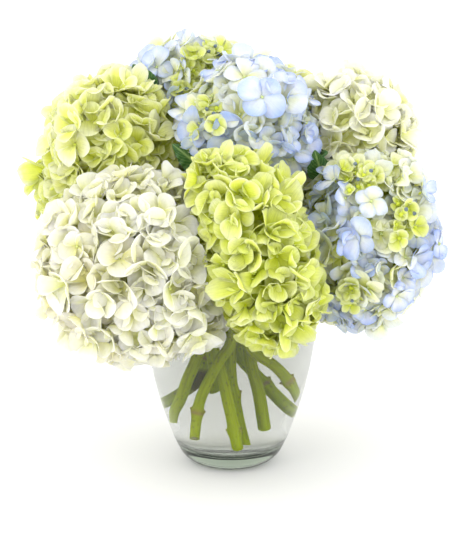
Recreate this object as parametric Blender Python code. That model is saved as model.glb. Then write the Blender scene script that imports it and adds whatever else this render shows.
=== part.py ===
"""A round bouquet of eleven hydrangea heads standing in a water-filled glass vase.

The origin is the centre of the vase's flat foot, +Z is up and -Y is the front.
Each flower head, each stem, each leaf, the water and the vase is an object of its own.
"""

import math
from dataclasses import dataclass

import bmesh
import bpy
import numpy as np

MM = 0.001

# Vase: outer wall as (radius, height), from the foot up to the rolled lip
VASE_OUTER = [(30, 0), (38, 2.5), (46, 9), (52.5, 21), (60, 41), (67, 62), (73, 85), (78, 112),
              (80, 132), (77.5, 155), (69, 170), (58.5, 180), (54.5, 189), (57.5, 198)]
VASE_WALL = 3.6

# Its thick floor inside, hollowed like a shallow bowl, as (radius, height) from the axis to the wall
VASE_BOWL = [(0, 12.5), (24, 12.6), (36, 14.2), (43.5, 17.6), (47.8, 22)]
WALL_START = 24.5
LIP_ROUND = 1.6
VASE_STEPS = 28

# Water stands almost up to the shoulder
WATER_LEVEL = 148.0
TOUCH_GAP = 0.35

# Stems
STEM_SIDES = 8
STEM_FOOT_RADIUS = 4.7
STEM_TOP_RADIUS = 3.9
STEM_RING_SPACING = 22.0
NODE_SWELL = 1.3
NODE_HALF_LENGTH = 5.0
HOLE_GAP = 0.5
STRAIGHT_END = 14.0
CURVE_SAMPLES = 24

# Flower heads: florets on three levels, with valleys between them, all as shares of the head's radius
FLORET_SPREAD = 0.62
LEVEL_DROPS = (0.10, 0.05, 0.0)
VALLEY = 0.70
HIDDEN_LEVEL = 0.86
OVERHANG = {1: -0.02, 0: 0.012, -1: 0.045}
CELL_ROUNDS = 6
TILT_JITTER = 0.13
PETAL_LIFT = 0.08
PETAL_UNEVEN = 0.06

# The neck in which the head meets its stem
NECK_SIDES = 8
NECK_RADIUS = 5.2
NECK_CONE = 42.0

# How heads press on each other, on the stems between them and on the vase
HEAD_GAP = 0.9
NO_CONTACT = -25.0
SOFT_CONTACT = 9.0
SQUEEZE = 0.3
MOST_PRESSED = 11.0
CLAMP_ROUNDS = 60
STEM_CLEARANCE = 1.6
STEM_REACH = 12.0
STEM_NEAR = 1.5
STEM_FREE_HEIGHT = 190.0
LIP_CLEAR_HEIGHT = 215.0
VASE_CLEARANCE = 3.5
MOUTH_TOP = 250.0

# One open floret, as shares of its radius: angle from the petal's middle, radius, height
PETAL_RIM = ((0.0, 1.0, 0.0), (26.0, 0.96, 0.08), (45.0, 0.64, -0.12), (64.0, 0.96, 0.08))
EYE_DEPTH = -0.14

# Leaves: a flat blade with saw teeth on a thin stalk
LEAF_THICKNESS = 0.8
LEAF_TEETH = 6
TOOTH_DEPTH = 0.10
LEAF_WIDEST = 0.42
STALK_RADIUS = 1.8
STALK_SIDES = 5
STALK_SEAT = 0.8


@dataclass
class Bloom:
    """One flower head with the stem that carries it, in millimetres."""

    name: str
    colour: str
    centre: tuple
    radii: tuple
    florets: int
    neck: tuple
    route: tuple
    nodes: tuple
    seed: int


# The heads seen from the front, from left to right, then the three at the back
# A route runs from the stem's cut foot up to the height where it heads for its neck
BLOOMS = [
    Bloom("lime_left", "lime", (-106, 0, 312), (66, 64, 68), 42, (-75, -3, 270),
          ((5.8, -28, 25), (-0.5, -24, 64), (-7, -16, 99), (-13, -10, 120), (-19, -7, 192),
           (-40, -5, 235)), (19,), 11),
    Bloom("lime_far_left", "lime", (-134, 56, 257), (55, 60, 51), 36, (-101, 39, 239),
          ((-10, 3, 78), (-13, 3, 115), (-33, 8, 184), (-48, 14, 211)), (), 12),
    Bloom("white_left", "white", (-80, -70, 208), (89, 84, 86), 52, (-45, -37, 219),
          ((-46.5, -11, 44), (-43.5, -12, 57), (-37.6, -11, 69), (-31.5, -11, 89), (-23, -13, 121),
           (-28, -20, 180)), (), 13),
    Bloom("lime_front", "lime", (25, -95, 231), (65, 65, 91), 46, (13, -57, 220),
          ((-31, -34, 35), (-26.5, -34, 65), (-23.7, -34, 77), (-16, -33, 97), (-8, -31, 113),
           (0, -29, 126), (7, -36, 184)), (28,), 14),
    Bloom("blue_rear_top", "blue", (-32, 45, 334), (60, 62, 62), 40, (-24, 33, 288),
          ((46, 11, 48), (39.3, 12, 55), (28.5, 14, 71), (15, 15, 92), (4.6, 10, 113), (-6, 8, 192),
           (-13, 18, 246)), (42,), 15),
    Bloom("blue_top", "blue", (15, -24, 323), (68, 70, 66), 42, (12, -19, 272),
          ((9.4, -6, 27), (3, -6, 66), (0, -6, 93), (0, -6, 119), (6, -11, 192), (9, -15, 242)),
          (49,), 16),
    Bloom("cream_right", "cream", (106, 12, 312), (65, 64, 67), 42, (78, 9, 272),
          ((24, -4, 42), (19.5, -4, 78), (13, -4, 119), (22, 3, 192), (46, 5, 232)), (), 17),
    Bloom("blue_right", "blue", (118, -46, 230), (70, 70, 86), 48, (72, -29, 221),
          ((53.7, -12, 69), (48, -14, 80.5), (33, -17, 103.5), (14, -16, 120), (8.5, -15, 137),
           (16, -15, 165), (32, -15, 188), (47, -20, 210)), (20,), 18),
    Bloom("white_rear", "white", (-58, 100, 236), (86, 76, 82), 48, (-30, 57, 218),
          ((-9, 36, 121), (-19, 33, 186), (-24, 44, 208)), (), 19),
    Bloom("cream_rear", "cream", (74, 92, 238), (86, 76, 82), 48, (41, 57, 218),
          ((9, 34, 120), (20, 32, 186), (30, 43, 208)), (), 20),
    Bloom("lime_rear_top", "lime", (50, 68, 312), (62, 62, 64), 40, (35, 50, 268),
          ((-54, 6, 56), (-41, 8, 65), (-32, 11, 73), (-23.4, 14, 82), (-17, 17, 95), (-11.7, 19, 115),
           (7, 22, 192), (19, 33, 236)), (66, 79), 21),
]

PETAL_COLOURS = {
    "lime": (0.55, 0.68, 0.16),
    "white": (0.88, 0.89, 0.76),
    "blue": (0.42, 0.52, 0.82),
    "cream": (0.82, 0.84, 0.58),
}


@dataclass
class Leaf:
    """One leaf pressed flat in the seam between two heads: its stem, its base, its tip and its width."""

    name: str
    stem: str
    joint_height: float
    between: tuple
    base: tuple
    tip: tuple
    width: float


LEAVES = [
    Leaf("leaf_left", "blue_rear_top", 256, ("lime_left", "blue_rear_top"),
         (-45, 12, 275), (-86, 31, 372), 50),
    Leaf("leaf_right", "cream_right", 236, ("cream_right", "blue_right"),
         (64, -8, 266), (86, -64, 308), 30),
    Leaf("leaf_rear", "lime_rear_top", 238, ("white_rear", "cream_rear"),
         (9, 56, 250), (8, 166, 292), 52),
]


def unit(vector):
    """The vector at length one."""
    vector = np.asarray(vector, float)
    return vector / np.linalg.norm(vector)


def cross_axes(direction):
    """Two unit vectors square to a direction and to each other, turned like X and Y about it."""
    helper = np.array([0.0, 0.0, 1.0]) if abs(direction[2]) < 0.9 else np.array([1.0, 0.0, 0.0])
    first = unit(np.cross(helper, direction))
    return first, np.cross(direction, first)


def material(name, colour, roughness, transmission=0.0):
    """A Principled BSDF material of one colour."""
    made = bpy.data.materials.new(name)
    made.use_nodes = True
    shader = made.node_tree.nodes["Principled BSDF"]
    shader.inputs["Base Color"].default_value = (*colour, 1.0)
    shader.inputs["Roughness"].default_value = roughness
    shader.inputs["Metallic"].default_value = 0.0
    shader.inputs["Transmission Weight"].default_value = transmission
    return made


def mesh_object(name, points_mm, faces, finish=None):
    """An object at the world's origin whose mesh is given in millimetres."""
    mesh = bpy.data.meshes.new(name)
    mesh.from_pydata((np.asarray(points_mm) * MM).tolist(), [], faces)
    if finish:
        mesh.materials.append(finish)
    made = bpy.data.objects.new(name, mesh)
    bpy.context.scene.collection.objects.link(made)
    return made


def boolean(body, pieces, operation):
    """Joins or cuts a body with a list of pieces in one Boolean, applies it and removes the pieces."""
    group = bpy.data.collections.new(body.name + "_pieces")
    bpy.context.scene.collection.children.link(group)
    for piece in pieces:
        group.objects.link(piece)
    modifier = body.modifiers.new("pieces", "BOOLEAN")
    modifier.operand_type = "COLLECTION"
    modifier.collection = group
    modifier.operation = operation
    modifier.solver = "MANIFOLD"
    graph = bpy.context.evaluated_depsgraph_get()
    joined = bpy.data.meshes.new_from_object(body.evaluated_get(graph))
    body.modifiers.clear()
    body.data = joined
    for piece in pieces:
        bpy.data.objects.remove(piece)
    bpy.data.collections.remove(group)


def turned(name, profile, finish, steps=VASE_STEPS):
    """A solid of revolution. The profile runs from the axis at the foot to the axis at the top."""
    angles = np.arange(steps) * 2 * math.pi / steps
    points = [(0.0, 0.0, profile[0][1])]
    for radius, height in profile[1:-1]:
        points += [(radius * math.cos(a), radius * math.sin(a), height) for a in angles]
    points.append((0.0, 0.0, profile[-1][1]))
    faces = []
    rings = len(profile) - 2
    for step in range(steps):
        after = (step + 1) % steps
        faces.append((0, 1 + after, 1 + step))
        for ring in range(rings - 1):
            low, high = 1 + ring * steps, 1 + (ring + 1) * steps
            faces.append((low + step, low + after, high + after, high + step))
        top = 1 + (rings - 1) * steps
        faces.append((top + step, top + after, len(points) - 1))
    made = mesh_object(name, points, faces, finish)
    made.data.shade_smooth()
    made.data.set_sharp_from_angle(angle=math.radians(40))
    return made


def inner_wall(inset):
    """The vase's inner profile from the floor's edge up, moved in from the outer wall by the inset."""
    outer = np.array(VASE_OUTER[2:], float)
    along = np.gradient(outer, axis=0)
    square = np.stack([-along[:, 1], along[:, 0]], 1) / np.linalg.norm(along, axis=1)[:, None]
    return outer + square * inset


def make_vase(finish):
    """The glass: outer wall, rounded lip, inner wall and a thick floor with a bowl-shaped top."""
    inner = inner_wall(VASE_WALL)
    lip_outer = np.array(VASE_OUTER[-1], float)
    lip_middle = (lip_outer + inner[-1]) / 2 + (0, LIP_ROUND)
    inner = inner[inner[:, 1] > WALL_START]
    profile = [(0, 0), *VASE_OUTER, tuple(lip_middle), *map(tuple, inner[::-1]), *VASE_BOWL[::-1]]
    return turned("vase", profile, finish)


def make_water(finish, stem_holes):
    """The water: it fills the vase up to its level, with a plain hole round each stem."""
    wall = inner_wall(VASE_WALL + TOUCH_GAP)
    wall = wall[wall[:, 1] > WALL_START]
    radius_at_level = np.interp(WATER_LEVEL, wall[:, 1], wall[:, 0])
    bowl = np.array(VASE_BOWL, float) + (0, TOUCH_GAP)
    bowl[1:, 0] -= TOUCH_GAP
    profile = [*map(tuple, bowl), *[tuple(p) for p in wall if p[1] < WATER_LEVEL - 3],
               (radius_at_level, WATER_LEVEL), (0, WATER_LEVEL)]
    water = turned("water", profile, finish)
    boolean(water, stem_holes, "DIFFERENCE")
    return water


def curve_through(points, spacing):
    """Points along a smooth curve through the given ones, close to the spacing apart."""
    points = np.asarray(points, float)
    padded = np.vstack([2 * points[0] - points[1], points, 2 * points[-1] - points[-2]])
    knots = np.concatenate([[0], np.cumsum(np.sqrt(np.linalg.norm(np.diff(padded, axis=0), axis=1)))])
    traced = []
    for k in range(1, len(padded) - 2):
        t = np.linspace(knots[k], knots[k + 1], CURVE_SAMPLES, endpoint=k == len(padded) - 3)[:, None]
        p, q = padded[k - 1:k + 3], knots[k - 1:k + 3]
        a1 = p[0] + (p[1] - p[0]) * (t - q[0]) / (q[1] - q[0])
        a2 = p[1] + (p[2] - p[1]) * (t - q[1]) / (q[2] - q[1])
        a3 = p[2] + (p[3] - p[2]) * (t - q[2]) / (q[3] - q[2])
        b1 = a1 + (a2 - a1) * (t - q[0]) / (q[2] - q[0])
        b2 = a2 + (a3 - a2) * (t - q[1]) / (q[3] - q[1])
        traced.append(b1 + (b2 - b1) * (t - q[1]) / (q[2] - q[1]))
    traced = np.vstack(traced)
    length = np.concatenate([[0], np.cumsum(np.linalg.norm(np.diff(traced, axis=0), axis=1))])
    stations = np.linspace(0, length[-1], max(2, round(length[-1] / spacing)) + 1)
    return np.stack([np.interp(stations, length, traced[:, i]) for i in range(3)], 1), stations


def tube(name, points, radii, sides, finish=None, end_direction=None):
    """A closed round tube along points, with flat ends; the last ring is square to end_direction."""
    along = np.gradient(points, axis=0)
    if end_direction is not None:
        along[-1] = end_direction
    rings = []
    first = cross_axes(unit(along[0]))[0]
    for point, direction, radius in zip(points, along, radii):
        direction = unit(direction)
        first = unit(first - direction * (first @ direction))
        second = np.cross(direction, first)
        angles = np.arange(sides) * 2 * math.pi / sides
        rings.append(point + radius * (np.outer(np.cos(angles), first)
                                       + np.outer(np.sin(angles), second)))
    faces = [tuple(range(sides - 1, -1, -1))]
    for ring in range(len(rings) - 1):
        low = ring * sides
        for side in range(sides):
            after = (side + 1) % sides
            faces.append((low + side, low + after, low + sides + after, low + sides + side))
    last = (len(rings) - 1) * sides
    faces.append(tuple(range(last, last + sides)))
    made = mesh_object(name, np.vstack(rings), faces, finish)
    made.data.shade_smooth()
    made.data.set_sharp_from_angle(angle=math.radians(50))
    return made


def neck_axis(bloom):
    """The direction in which a stem enters its head."""
    return unit(np.subtract(bloom.centre, bloom.neck))


def stem_line(bloom):
    """The stem's centre line from its foot to just under its head, and the length at each point."""
    end = np.array(bloom.neck) - neck_axis(bloom) * TOUCH_GAP
    before = end - neck_axis(bloom) * STRAIGHT_END
    line, stations = curve_through([*bloom.route, before, end], 2.0)
    rings = np.linspace(0, stations[-1], round(stations[-1] / STEM_RING_SPACING) + 1)
    for node in bloom.nodes:
        rings = rings[np.abs(rings - node) > NODE_HALF_LENGTH * 1.5]
        rings = np.append(rings, [node - NODE_HALF_LENGTH, node, node + NODE_HALF_LENGTH])
    rings = np.sort(rings)
    return np.stack([np.interp(rings, stations, line[:, i]) for i in range(3)], 1), rings


def stem_radii(bloom, stations):
    """Stem radius at each station: a slight taper, with a swelling at each node."""
    share = stations / stations[-1]
    radii = STEM_FOOT_RADIUS + (STEM_TOP_RADIUS - STEM_FOOT_RADIUS) * share
    for node in bloom.nodes:
        radii = radii + NODE_SWELL * (np.abs(stations - node) < 1e-6)
    return radii


def make_stem(bloom, finish, extra=0.0):
    """One stem, or, with extra radius and no finish, the hole that it makes in the water."""
    line, stations = stem_line(bloom)
    radii = stem_radii(bloom, stations) + extra
    name = "stem_" + bloom.name
    if extra:
        below = line[0] - unit(line[1] - line[0]) * extra
        line = np.vstack([below, line[1:]])
        name = "hole_" + bloom.name
    return tube(name, line, radii, STEM_SIDES, finish, neck_axis(bloom))


def seam_plane(bloom, other):
    """The plane in which two heads press on each other, as (normal towards the first, offset)."""
    centre = np.array(bloom.centre, float)
    apart = centre - other.centre
    distance = np.linalg.norm(apart)
    normal = apart / distance
    overlap = reach(bloom, normal) + reach(other, normal) - distance
    return normal, normal @ centre - reach(bloom, normal) + overlap / 2, overlap


def leaf_ends(leaf):
    """The blade's base and tip set exactly in the seam, and the seam's normal."""
    pair = [bloom for bloom in BLOOMS if bloom.name in leaf.between]
    normal, offset, _ = seam_plane(*pair)
    base, tip = np.array(leaf.base, float), np.array(leaf.tip, float)
    return base - normal * (base @ normal - offset), tip - normal * (tip @ normal - offset), normal


def leaf_outline(leaf):
    """The blade's spine points, its sideways direction, and its half width at each spine point."""
    base, tip, normal = leaf_ends(leaf)
    spine = tip - base
    side = unit(np.cross(spine, normal))
    steps = LEAF_TEETH * 2
    share = np.arange(1, steps) / steps
    ahead = np.where(share < LEAF_WIDEST, share / LEAF_WIDEST, (1 - share) / (1 - LEAF_WIDEST))
    half = leaf.width / 2 * np.sin(ahead * math.pi / 2) ** 0.8
    half = half * np.where(np.arange(1, steps) % 2, 1 + TOOTH_DEPTH, 1 - TOOTH_DEPTH)
    return base + np.outer(share, spine), side, half


def stalk_line(leaf, stem_line_points):
    """The leaf stalk's centre line from its stem's surface to a little way up the blade."""
    level = np.abs(stem_line_points[:, 2] - leaf.joint_height).argmin()
    joint = stem_line_points[level]
    along = unit(stem_line_points[level + 1] - stem_line_points[level - 1])
    base, tip, _ = leaf_ends(leaf)
    spine = unit(tip - base)
    outward = unit(base - joint - along * ((base - joint) @ along))
    start = joint + outward * (STEM_TOP_RADIUS + STALK_SEAT)
    return curve_through([start, start + outward * 4, base, base + spine * 6], 7.0)[0]


def make_leaf(leaf, finish, stem_line_points):
    """One leaf: a flat toothed blade, split alike on both faces, fused with its round stalk."""
    spine, side, half = leaf_outline(leaf)
    base, tip, _ = leaf_ends(leaf)
    normal = unit(np.cross(side, tip - base)) * LEAF_THICKNESS / 2
    rows = np.stack([spine - half[:, None] * side, spine, spine + half[:, None] * side], 1)
    flat = np.vstack([base, rows.reshape(-1, 3), tip])
    count = len(flat)
    last = count - 4
    top = [(0, 2, 1), (0, 3, 2), (last, last + 1, count - 1), (last + 1, last + 2, count - 1)]
    for low in range(1, last, 3):
        top += [(low, low + 1, low + 4), (low, low + 4, low + 3)]
        top += [(low + 1, low + 2, low + 5), (low + 1, low + 5, low + 4)]
    rim = [0, *range(1, count - 1, 3), count - 1, *range(last + 2, 2, -3)]
    faces = top + [tuple(n + count for n in reversed(face)) for face in top]
    for n, here in enumerate(rim):
        after = rim[(n + 1) % len(rim)]
        faces.append((here, after, after + count, here + count))
    blade = mesh_object(leaf.name, np.vstack([flat + normal, flat - normal]), faces, finish)
    line = stalk_line(leaf, stem_line_points)
    radii = np.linspace(STALK_RADIUS, STALK_RADIUS * 0.6, len(line))
    boolean(blade, [tube(leaf.name + "_stalk", line, radii, STALK_SIDES)], "UNION")
    return blade


def reach(bloom, direction):
    """How far the head's ellipsoid reaches from its centre plane in a direction."""
    return np.linalg.norm(np.array(bloom.radii) * direction)


def cell_planes(bloom, stem_lines):
    """The flat limits of a head's room, as (inward normal, offset): other heads, stems and the vase."""
    planes = []
    centre = np.array(bloom.centre, float)
    for other in BLOOMS:
        if other is not bloom:
            normal, offset, overlap = seam_plane(bloom, other)
            if overlap > NO_CONTACT:
                planes.append((normal, offset + HEAD_GAP))
    for name, whole_line in stem_lines.items():
        line = whole_line[whole_line[:, 2] > STEM_FREE_HEIGHT]
        from_centre = centre - line
        distances = np.linalg.norm(from_centre, axis=1)
        nearest = distances.argmin()
        normal = from_centre[nearest] / distances[nearest]
        if name != bloom.name and distances[nearest] < reach(bloom, normal) + STEM_REACH:
            near = distances < max(bloom.radii) * STEM_NEAR
            planes.append((normal, (line[near] @ normal).max() + STEM_FOOT_RADIUS + STEM_CLEARANCE))
    return planes


def past_vase(bloom, points):
    """How far each point must move outward, away from the vase's axis, to clear the vase and its mouth."""
    outward = unit([bloom.centre[0], bloom.centre[1], 0])
    walls = np.array([*VASE_OUTER, (0, MOUTH_TOP)]) + (VASE_CLEARANCE, 0)
    wall = np.interp(points[:, 2], walls[:, 1], walls[:, 0])
    sideways = points[:, 0] * outward[1] - points[:, 1] * outward[0]
    return np.sqrt(np.maximum(wall ** 2 - sideways ** 2, 0)) - points @ outward, outward


def softened(depth):
    """How far a point moves that lies this deep past a limit, or nearer to it than SOFT_CONTACT."""
    return (1 - SQUEEZE) * np.maximum(depth + SOFT_CONTACT, 0)


def press(bloom, points, planes):
    """Moves points that come near or past a limit back inside it, as petals press on a neighbour.

    Beyond SOFT_CONTACT a point keeps its distance to the limit. Nearer than that, the rest of its
    distance shrinks to the SQUEEZE share, and what would still lie past the limit is set on it.
    """
    points = np.array(points, float)
    for normal, offset in planes:
        points += np.outer(softened(offset - points @ normal), normal)
    low_head = bloom.centre[2] - bloom.radii[2] < LIP_CLEAR_HEIGHT
    if low_head:
        depth, outward = past_vase(bloom, points)
        points += np.outer(softened(depth), outward)
    for _ in range(CLAMP_ROUNDS):
        for normal, offset in planes:
            points += np.outer(np.maximum(offset - points @ normal, 0), normal)
        if low_head:
            depth, outward = past_vase(bloom, points)
            points += np.outer(np.maximum(depth, 0), outward)
    return points


def floret_directions(bloom):
    """Directions spread evenly over a sphere by the golden angle; the last one points down the stem."""
    index = np.arange(bloom.florets)
    height = 1 - 2 * (index + 0.5) / bloom.florets
    height[-1] = -1.0
    turn = index * math.pi * (3 - math.sqrt(5)) + bloom.seed
    flat = np.sqrt(1 - height ** 2)
    axis = unit(neck_axis(bloom) / bloom.radii)
    first, second = cross_axes(axis)
    local = np.stack([flat * np.cos(turn), flat * np.sin(turn), height], 1)
    return local @ np.stack([first, second, axis])


def cells_on_sphere(directions):
    """Each direction's cell on the sphere: the shared corners, each cell's corners and its neighbours.

    The corners are the face normals of the convex hull of the directions.
    """
    hull = bmesh.new()
    for direction in directions:
        hull.verts.new(direction)
    bmesh.ops.convex_hull(hull, input=hull.verts)
    hull.verts.index_update()
    hull.faces.index_update()
    corners = []
    for face in hull.faces:
        normal = np.array(face.normal)
        corners.append(normal * np.sign(normal @ np.array(face.calc_center_median())))
    around = [[face.index for face in vert.link_faces] for vert in hull.verts]
    beside = [[edge.other_vert(vert).index for edge in vert.link_edges] for vert in hull.verts]
    hull.free()
    return np.array(corners), around, beside


def turned_angles(vectors, direction):
    """The angle of each vector about a direction, from 0 to a full turn."""
    first, second = cross_axes(direction)
    return np.arctan2(vectors @ second, vectors @ first) % (2 * math.pi)


def bridge(outer, outer_angles, inner, inner_angles):
    """Triangles between two rings of vertex numbers, matched by their angles about one axis."""
    outer_order = np.argsort(outer_angles)
    inner_order = np.argsort(inner_angles)
    ring_a = [(outer_angles[k], outer[k]) for k in outer_order]
    ring_b = [(inner_angles[k], inner[k]) for k in inner_order]
    ring_a.append((ring_a[0][0] + 2 * math.pi, ring_a[0][1]))
    ring_b.append((ring_b[0][0] + 2 * math.pi, ring_b[0][1]))
    faces = []
    i = j = 0
    while i < len(outer) or j < len(inner):
        step_outer = j == len(inner) or (i < len(outer) and ring_a[i + 1][0] <= ring_b[j + 1][0])
        if step_outer:
            faces.append((ring_a[i][1], ring_a[i + 1][1], ring_b[j][1]))
            i += 1
        else:
            faces.append((ring_a[i][1], ring_b[j + 1][1], ring_b[j][1]))
            j += 1
    return faces


def fan(ring, middle):
    """Triangles from each side of a ring to one middle point."""
    return [(low, ring[(n + 1) % len(ring)], middle) for n, low in enumerate(ring)]


def floret_rim(bloom, k, direction, rng):
    """The eye and the waved rim of four round petals of one floret, in millimetres."""
    radii = np.array(bloom.radii, float)
    size = FLORET_SPREAD * math.sqrt(4 * math.pi / bloom.florets) * radii.mean()
    outward = unit(direction / radii + rng.uniform(-TILT_JITTER, TILT_JITTER, 3) / radii.mean())
    first, second = cross_axes(outward)
    seat = np.array(bloom.centre) + radii * direction * (1 - LEVEL_DROPS[k % 3])
    twist = rng.uniform(0, math.pi / 2)
    rim = []
    for petal in range(4):
        lift = rng.uniform(-PETAL_LIFT, PETAL_LIFT)
        for angle, radius, height in PETAL_RIM:
            turn = twist + math.radians(petal * 90 + angle)
            side = math.cos(turn) * first + math.sin(turn) * second
            grow = 1 + rng.uniform(-PETAL_UNEVEN, PETAL_UNEVEN)
            rise = height + (lift if height > 0 else 0.0)
            rim.append(seat + size * (radius * grow * side + rise * outward))
    return seat + outward * EYE_DEPTH * size, np.array(rim)


def keep_to_cell(bloom, points, k, directions, neighbours):
    """Holds a rim on its own side of its neighbours: a higher floret overhangs, a lower one draws in."""
    radii = np.array(bloom.radii, float)
    shared = (points - bloom.centre) / radii
    for _ in range(CELL_ROUNDS):
        for other in neighbours:
            normal = unit(directions[k] - directions[other])
            margin = OVERHANG[(k % 3 > other % 3) - (k % 3 < other % 3)]
            shared += np.outer(np.maximum(margin - shared @ normal, 0), normal)
    return bloom.centre + shared * radii


def floret_on_cell(bloom, k, directions, neighbours, planes, rng):
    """One floret's points, its eye first, and its rim's angles, or None where no floret has room."""
    eye, rim = floret_rim(bloom, k, directions[k], rng)
    rim = keep_to_cell(bloom, rim, k, directions, neighbours)
    free = np.vstack([eye, rim])
    pressed = press(bloom, free, planes)
    beside_neck = directions[k] @ neck_axis(bloom) < -math.cos(math.radians(NECK_CONE))
    if beside_neck or np.linalg.norm(pressed - free, axis=1).max() > MOST_PRESSED:
        return None
    return pressed, turned_angles((rim - bloom.centre) / np.array(bloom.radii), directions[k])


def neck_end(bloom):
    """The round end of the neck that the stem meets, and its points' angles."""
    first, second = cross_axes(-neck_axis(bloom))
    turns = np.arange(NECK_SIDES) * 2 * math.pi / NECK_SIDES
    rim = np.outer(np.cos(turns), first) + np.outer(np.sin(turns), second)
    return np.array(bloom.neck, float) + rim * NECK_RADIUS, turns


def make_head(bloom, finish, stem_lines):
    """One flower head as one closed surface: a floret stands on each cell of its free outside.

    The cells meet at shared corners in the valleys between florets. A cell with no room for a
    floret is a low fan, and the last cell runs down into the neck.
    """
    rng = np.random.default_rng(bloom.seed)
    planes = cell_planes(bloom, stem_lines)
    radii = np.array(bloom.radii, float)
    directions = floret_directions(bloom)
    corners, around, beside = cells_on_sphere(directions)
    points = list(press(bloom, bloom.centre + radii * corners * VALLEY, planes))
    faces = []
    for k, direction in enumerate(directions[:-1]):
        angles = turned_angles(corners[around[k]], direction)
        ring = [around[k][n] for n in np.argsort(angles)]
        floret = floret_on_cell(bloom, k, directions, beside[k], planes, rng)
        middle = len(points)
        if floret is None:
            low_point = bloom.centre + radii * direction * HIDDEN_LEVEL
            points += list(press(bloom, [low_point], planes))
            faces += fan(ring, middle)
            continue
        floret_points, rim_angles = floret
        order = np.argsort(rim_angles)
        rim = [middle + 1 + n for n in order]
        points += list(floret_points)
        faces += bridge(ring, np.sort(angles), rim, rim_angles[order])
        faces += fan(rim, middle)
    end_points, end_angles = neck_end(bloom)
    angles = turned_angles(corners[around[-1]], directions[-1])
    ring = [around[-1][n] for n in np.argsort(angles)]
    rim = list(range(len(points), len(points) + NECK_SIDES))
    points += list(end_points)
    faces += bridge(ring, np.sort(angles), rim, end_angles)
    faces.append(tuple(rim))
    return mesh_object("head_" + bloom.name, points, faces, finish)


def clear_scene():
    """Removes every object of the scene."""
    for old in list(bpy.data.objects):
        bpy.data.objects.remove(old)


def main():
    """Builds the vase, the stems, the water, the leaves and the heads."""
    clear_scene()
    glass = material("glass", (0.80, 0.86, 0.84), 0.03, 0.95)
    water = material("water", (0.90, 0.94, 0.93), 0.02, 0.95)
    stem_green = material("stem", (0.30, 0.40, 0.10), 0.45)
    leaf_green = material("leaf", (0.10, 0.20, 0.05), 0.4)
    petals = {name: material("petals_" + name, colour, 0.5) for name, colour in PETAL_COLOURS.items()}

    make_vase(glass)
    stem_lines = {}
    holes = []
    for bloom in BLOOMS:
        make_stem(bloom, stem_green)
        holes.append(make_stem(bloom, None, HOLE_GAP))
        line, _ = curve_through(stem_line(bloom)[0], 4.0)
        stem_lines[bloom.name] = line
    make_water(water, holes)
    for leaf in LEAVES:
        make_leaf(leaf, leaf_green, stem_lines[leaf.stem])
    for bloom in BLOOMS:
        make_head(bloom, petals[bloom.colour], stem_lines)


main()
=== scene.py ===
"""A bouquet of mixed hydrangea heads in a round glass vase of water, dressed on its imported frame.

Sizes and places are in millimetres in the classes below, and become metres where a mesh is made.
+Z is up, -Y is the front and the origin is the middle of the vase's foot, as in the frame.
"""

import logging
import math
from dataclasses import dataclass, field
from enum import Enum

import bpy
import numpy as np
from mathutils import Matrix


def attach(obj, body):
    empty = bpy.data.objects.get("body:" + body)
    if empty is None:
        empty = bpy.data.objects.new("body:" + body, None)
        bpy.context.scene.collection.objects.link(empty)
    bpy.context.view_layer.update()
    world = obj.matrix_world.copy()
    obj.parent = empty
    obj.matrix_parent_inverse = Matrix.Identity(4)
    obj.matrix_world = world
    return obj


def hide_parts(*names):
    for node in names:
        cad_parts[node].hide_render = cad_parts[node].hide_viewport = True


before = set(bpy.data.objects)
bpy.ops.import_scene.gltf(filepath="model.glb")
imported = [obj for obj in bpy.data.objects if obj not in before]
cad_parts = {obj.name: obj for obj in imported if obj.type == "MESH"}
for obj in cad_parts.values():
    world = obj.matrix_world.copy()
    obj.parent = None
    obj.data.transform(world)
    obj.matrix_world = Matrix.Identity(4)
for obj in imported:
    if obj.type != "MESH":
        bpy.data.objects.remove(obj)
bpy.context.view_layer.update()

MM = 0.001
BODY = "root"
GOLDEN_ANGLE = math.pi * (3 - math.sqrt(5))
WHITE = "FFFFFF"
log = logging.getLogger("bouquet")


def tone(code: str) -> np.ndarray:
    """A colour as linear light.

    Args:
        code: Six hex digits of red, green and blue as a screen shows them.

    Returns:
        Red, green and blue between 0 and 1.
    """
    shown = np.array([int(code[n:n + 2], 16) for n in (0, 2, 4)]) / 255
    return np.where(shown <= 0.04045, shown / 12.92, ((shown + 0.055) / 1.055) ** 2.4)


def unit(vectors: np.ndarray) -> np.ndarray:
    """Vectors, on the last axis, at length one."""
    vectors = np.asarray(vectors, float)
    return vectors / np.linalg.norm(vectors, axis=-1, keepdims=True)


def cross_axes(direction: np.ndarray) -> tuple[np.ndarray, np.ndarray]:
    """Two unit vectors square to each direction and to each other, turned like X and Y about it.

    Args:
        direction: Unit vectors, on the last axis.

    Returns:
        The first and the second of them for each direction.
    """
    steep = np.abs(direction[..., 2:3]) >= 0.9
    helper = np.where(steep, np.array([1.0, 0.0, 0.0]), np.array([0.0, 0.0, 1.0]))
    first = unit(np.cross(helper, direction))
    return first, np.cross(direction, first)


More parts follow.
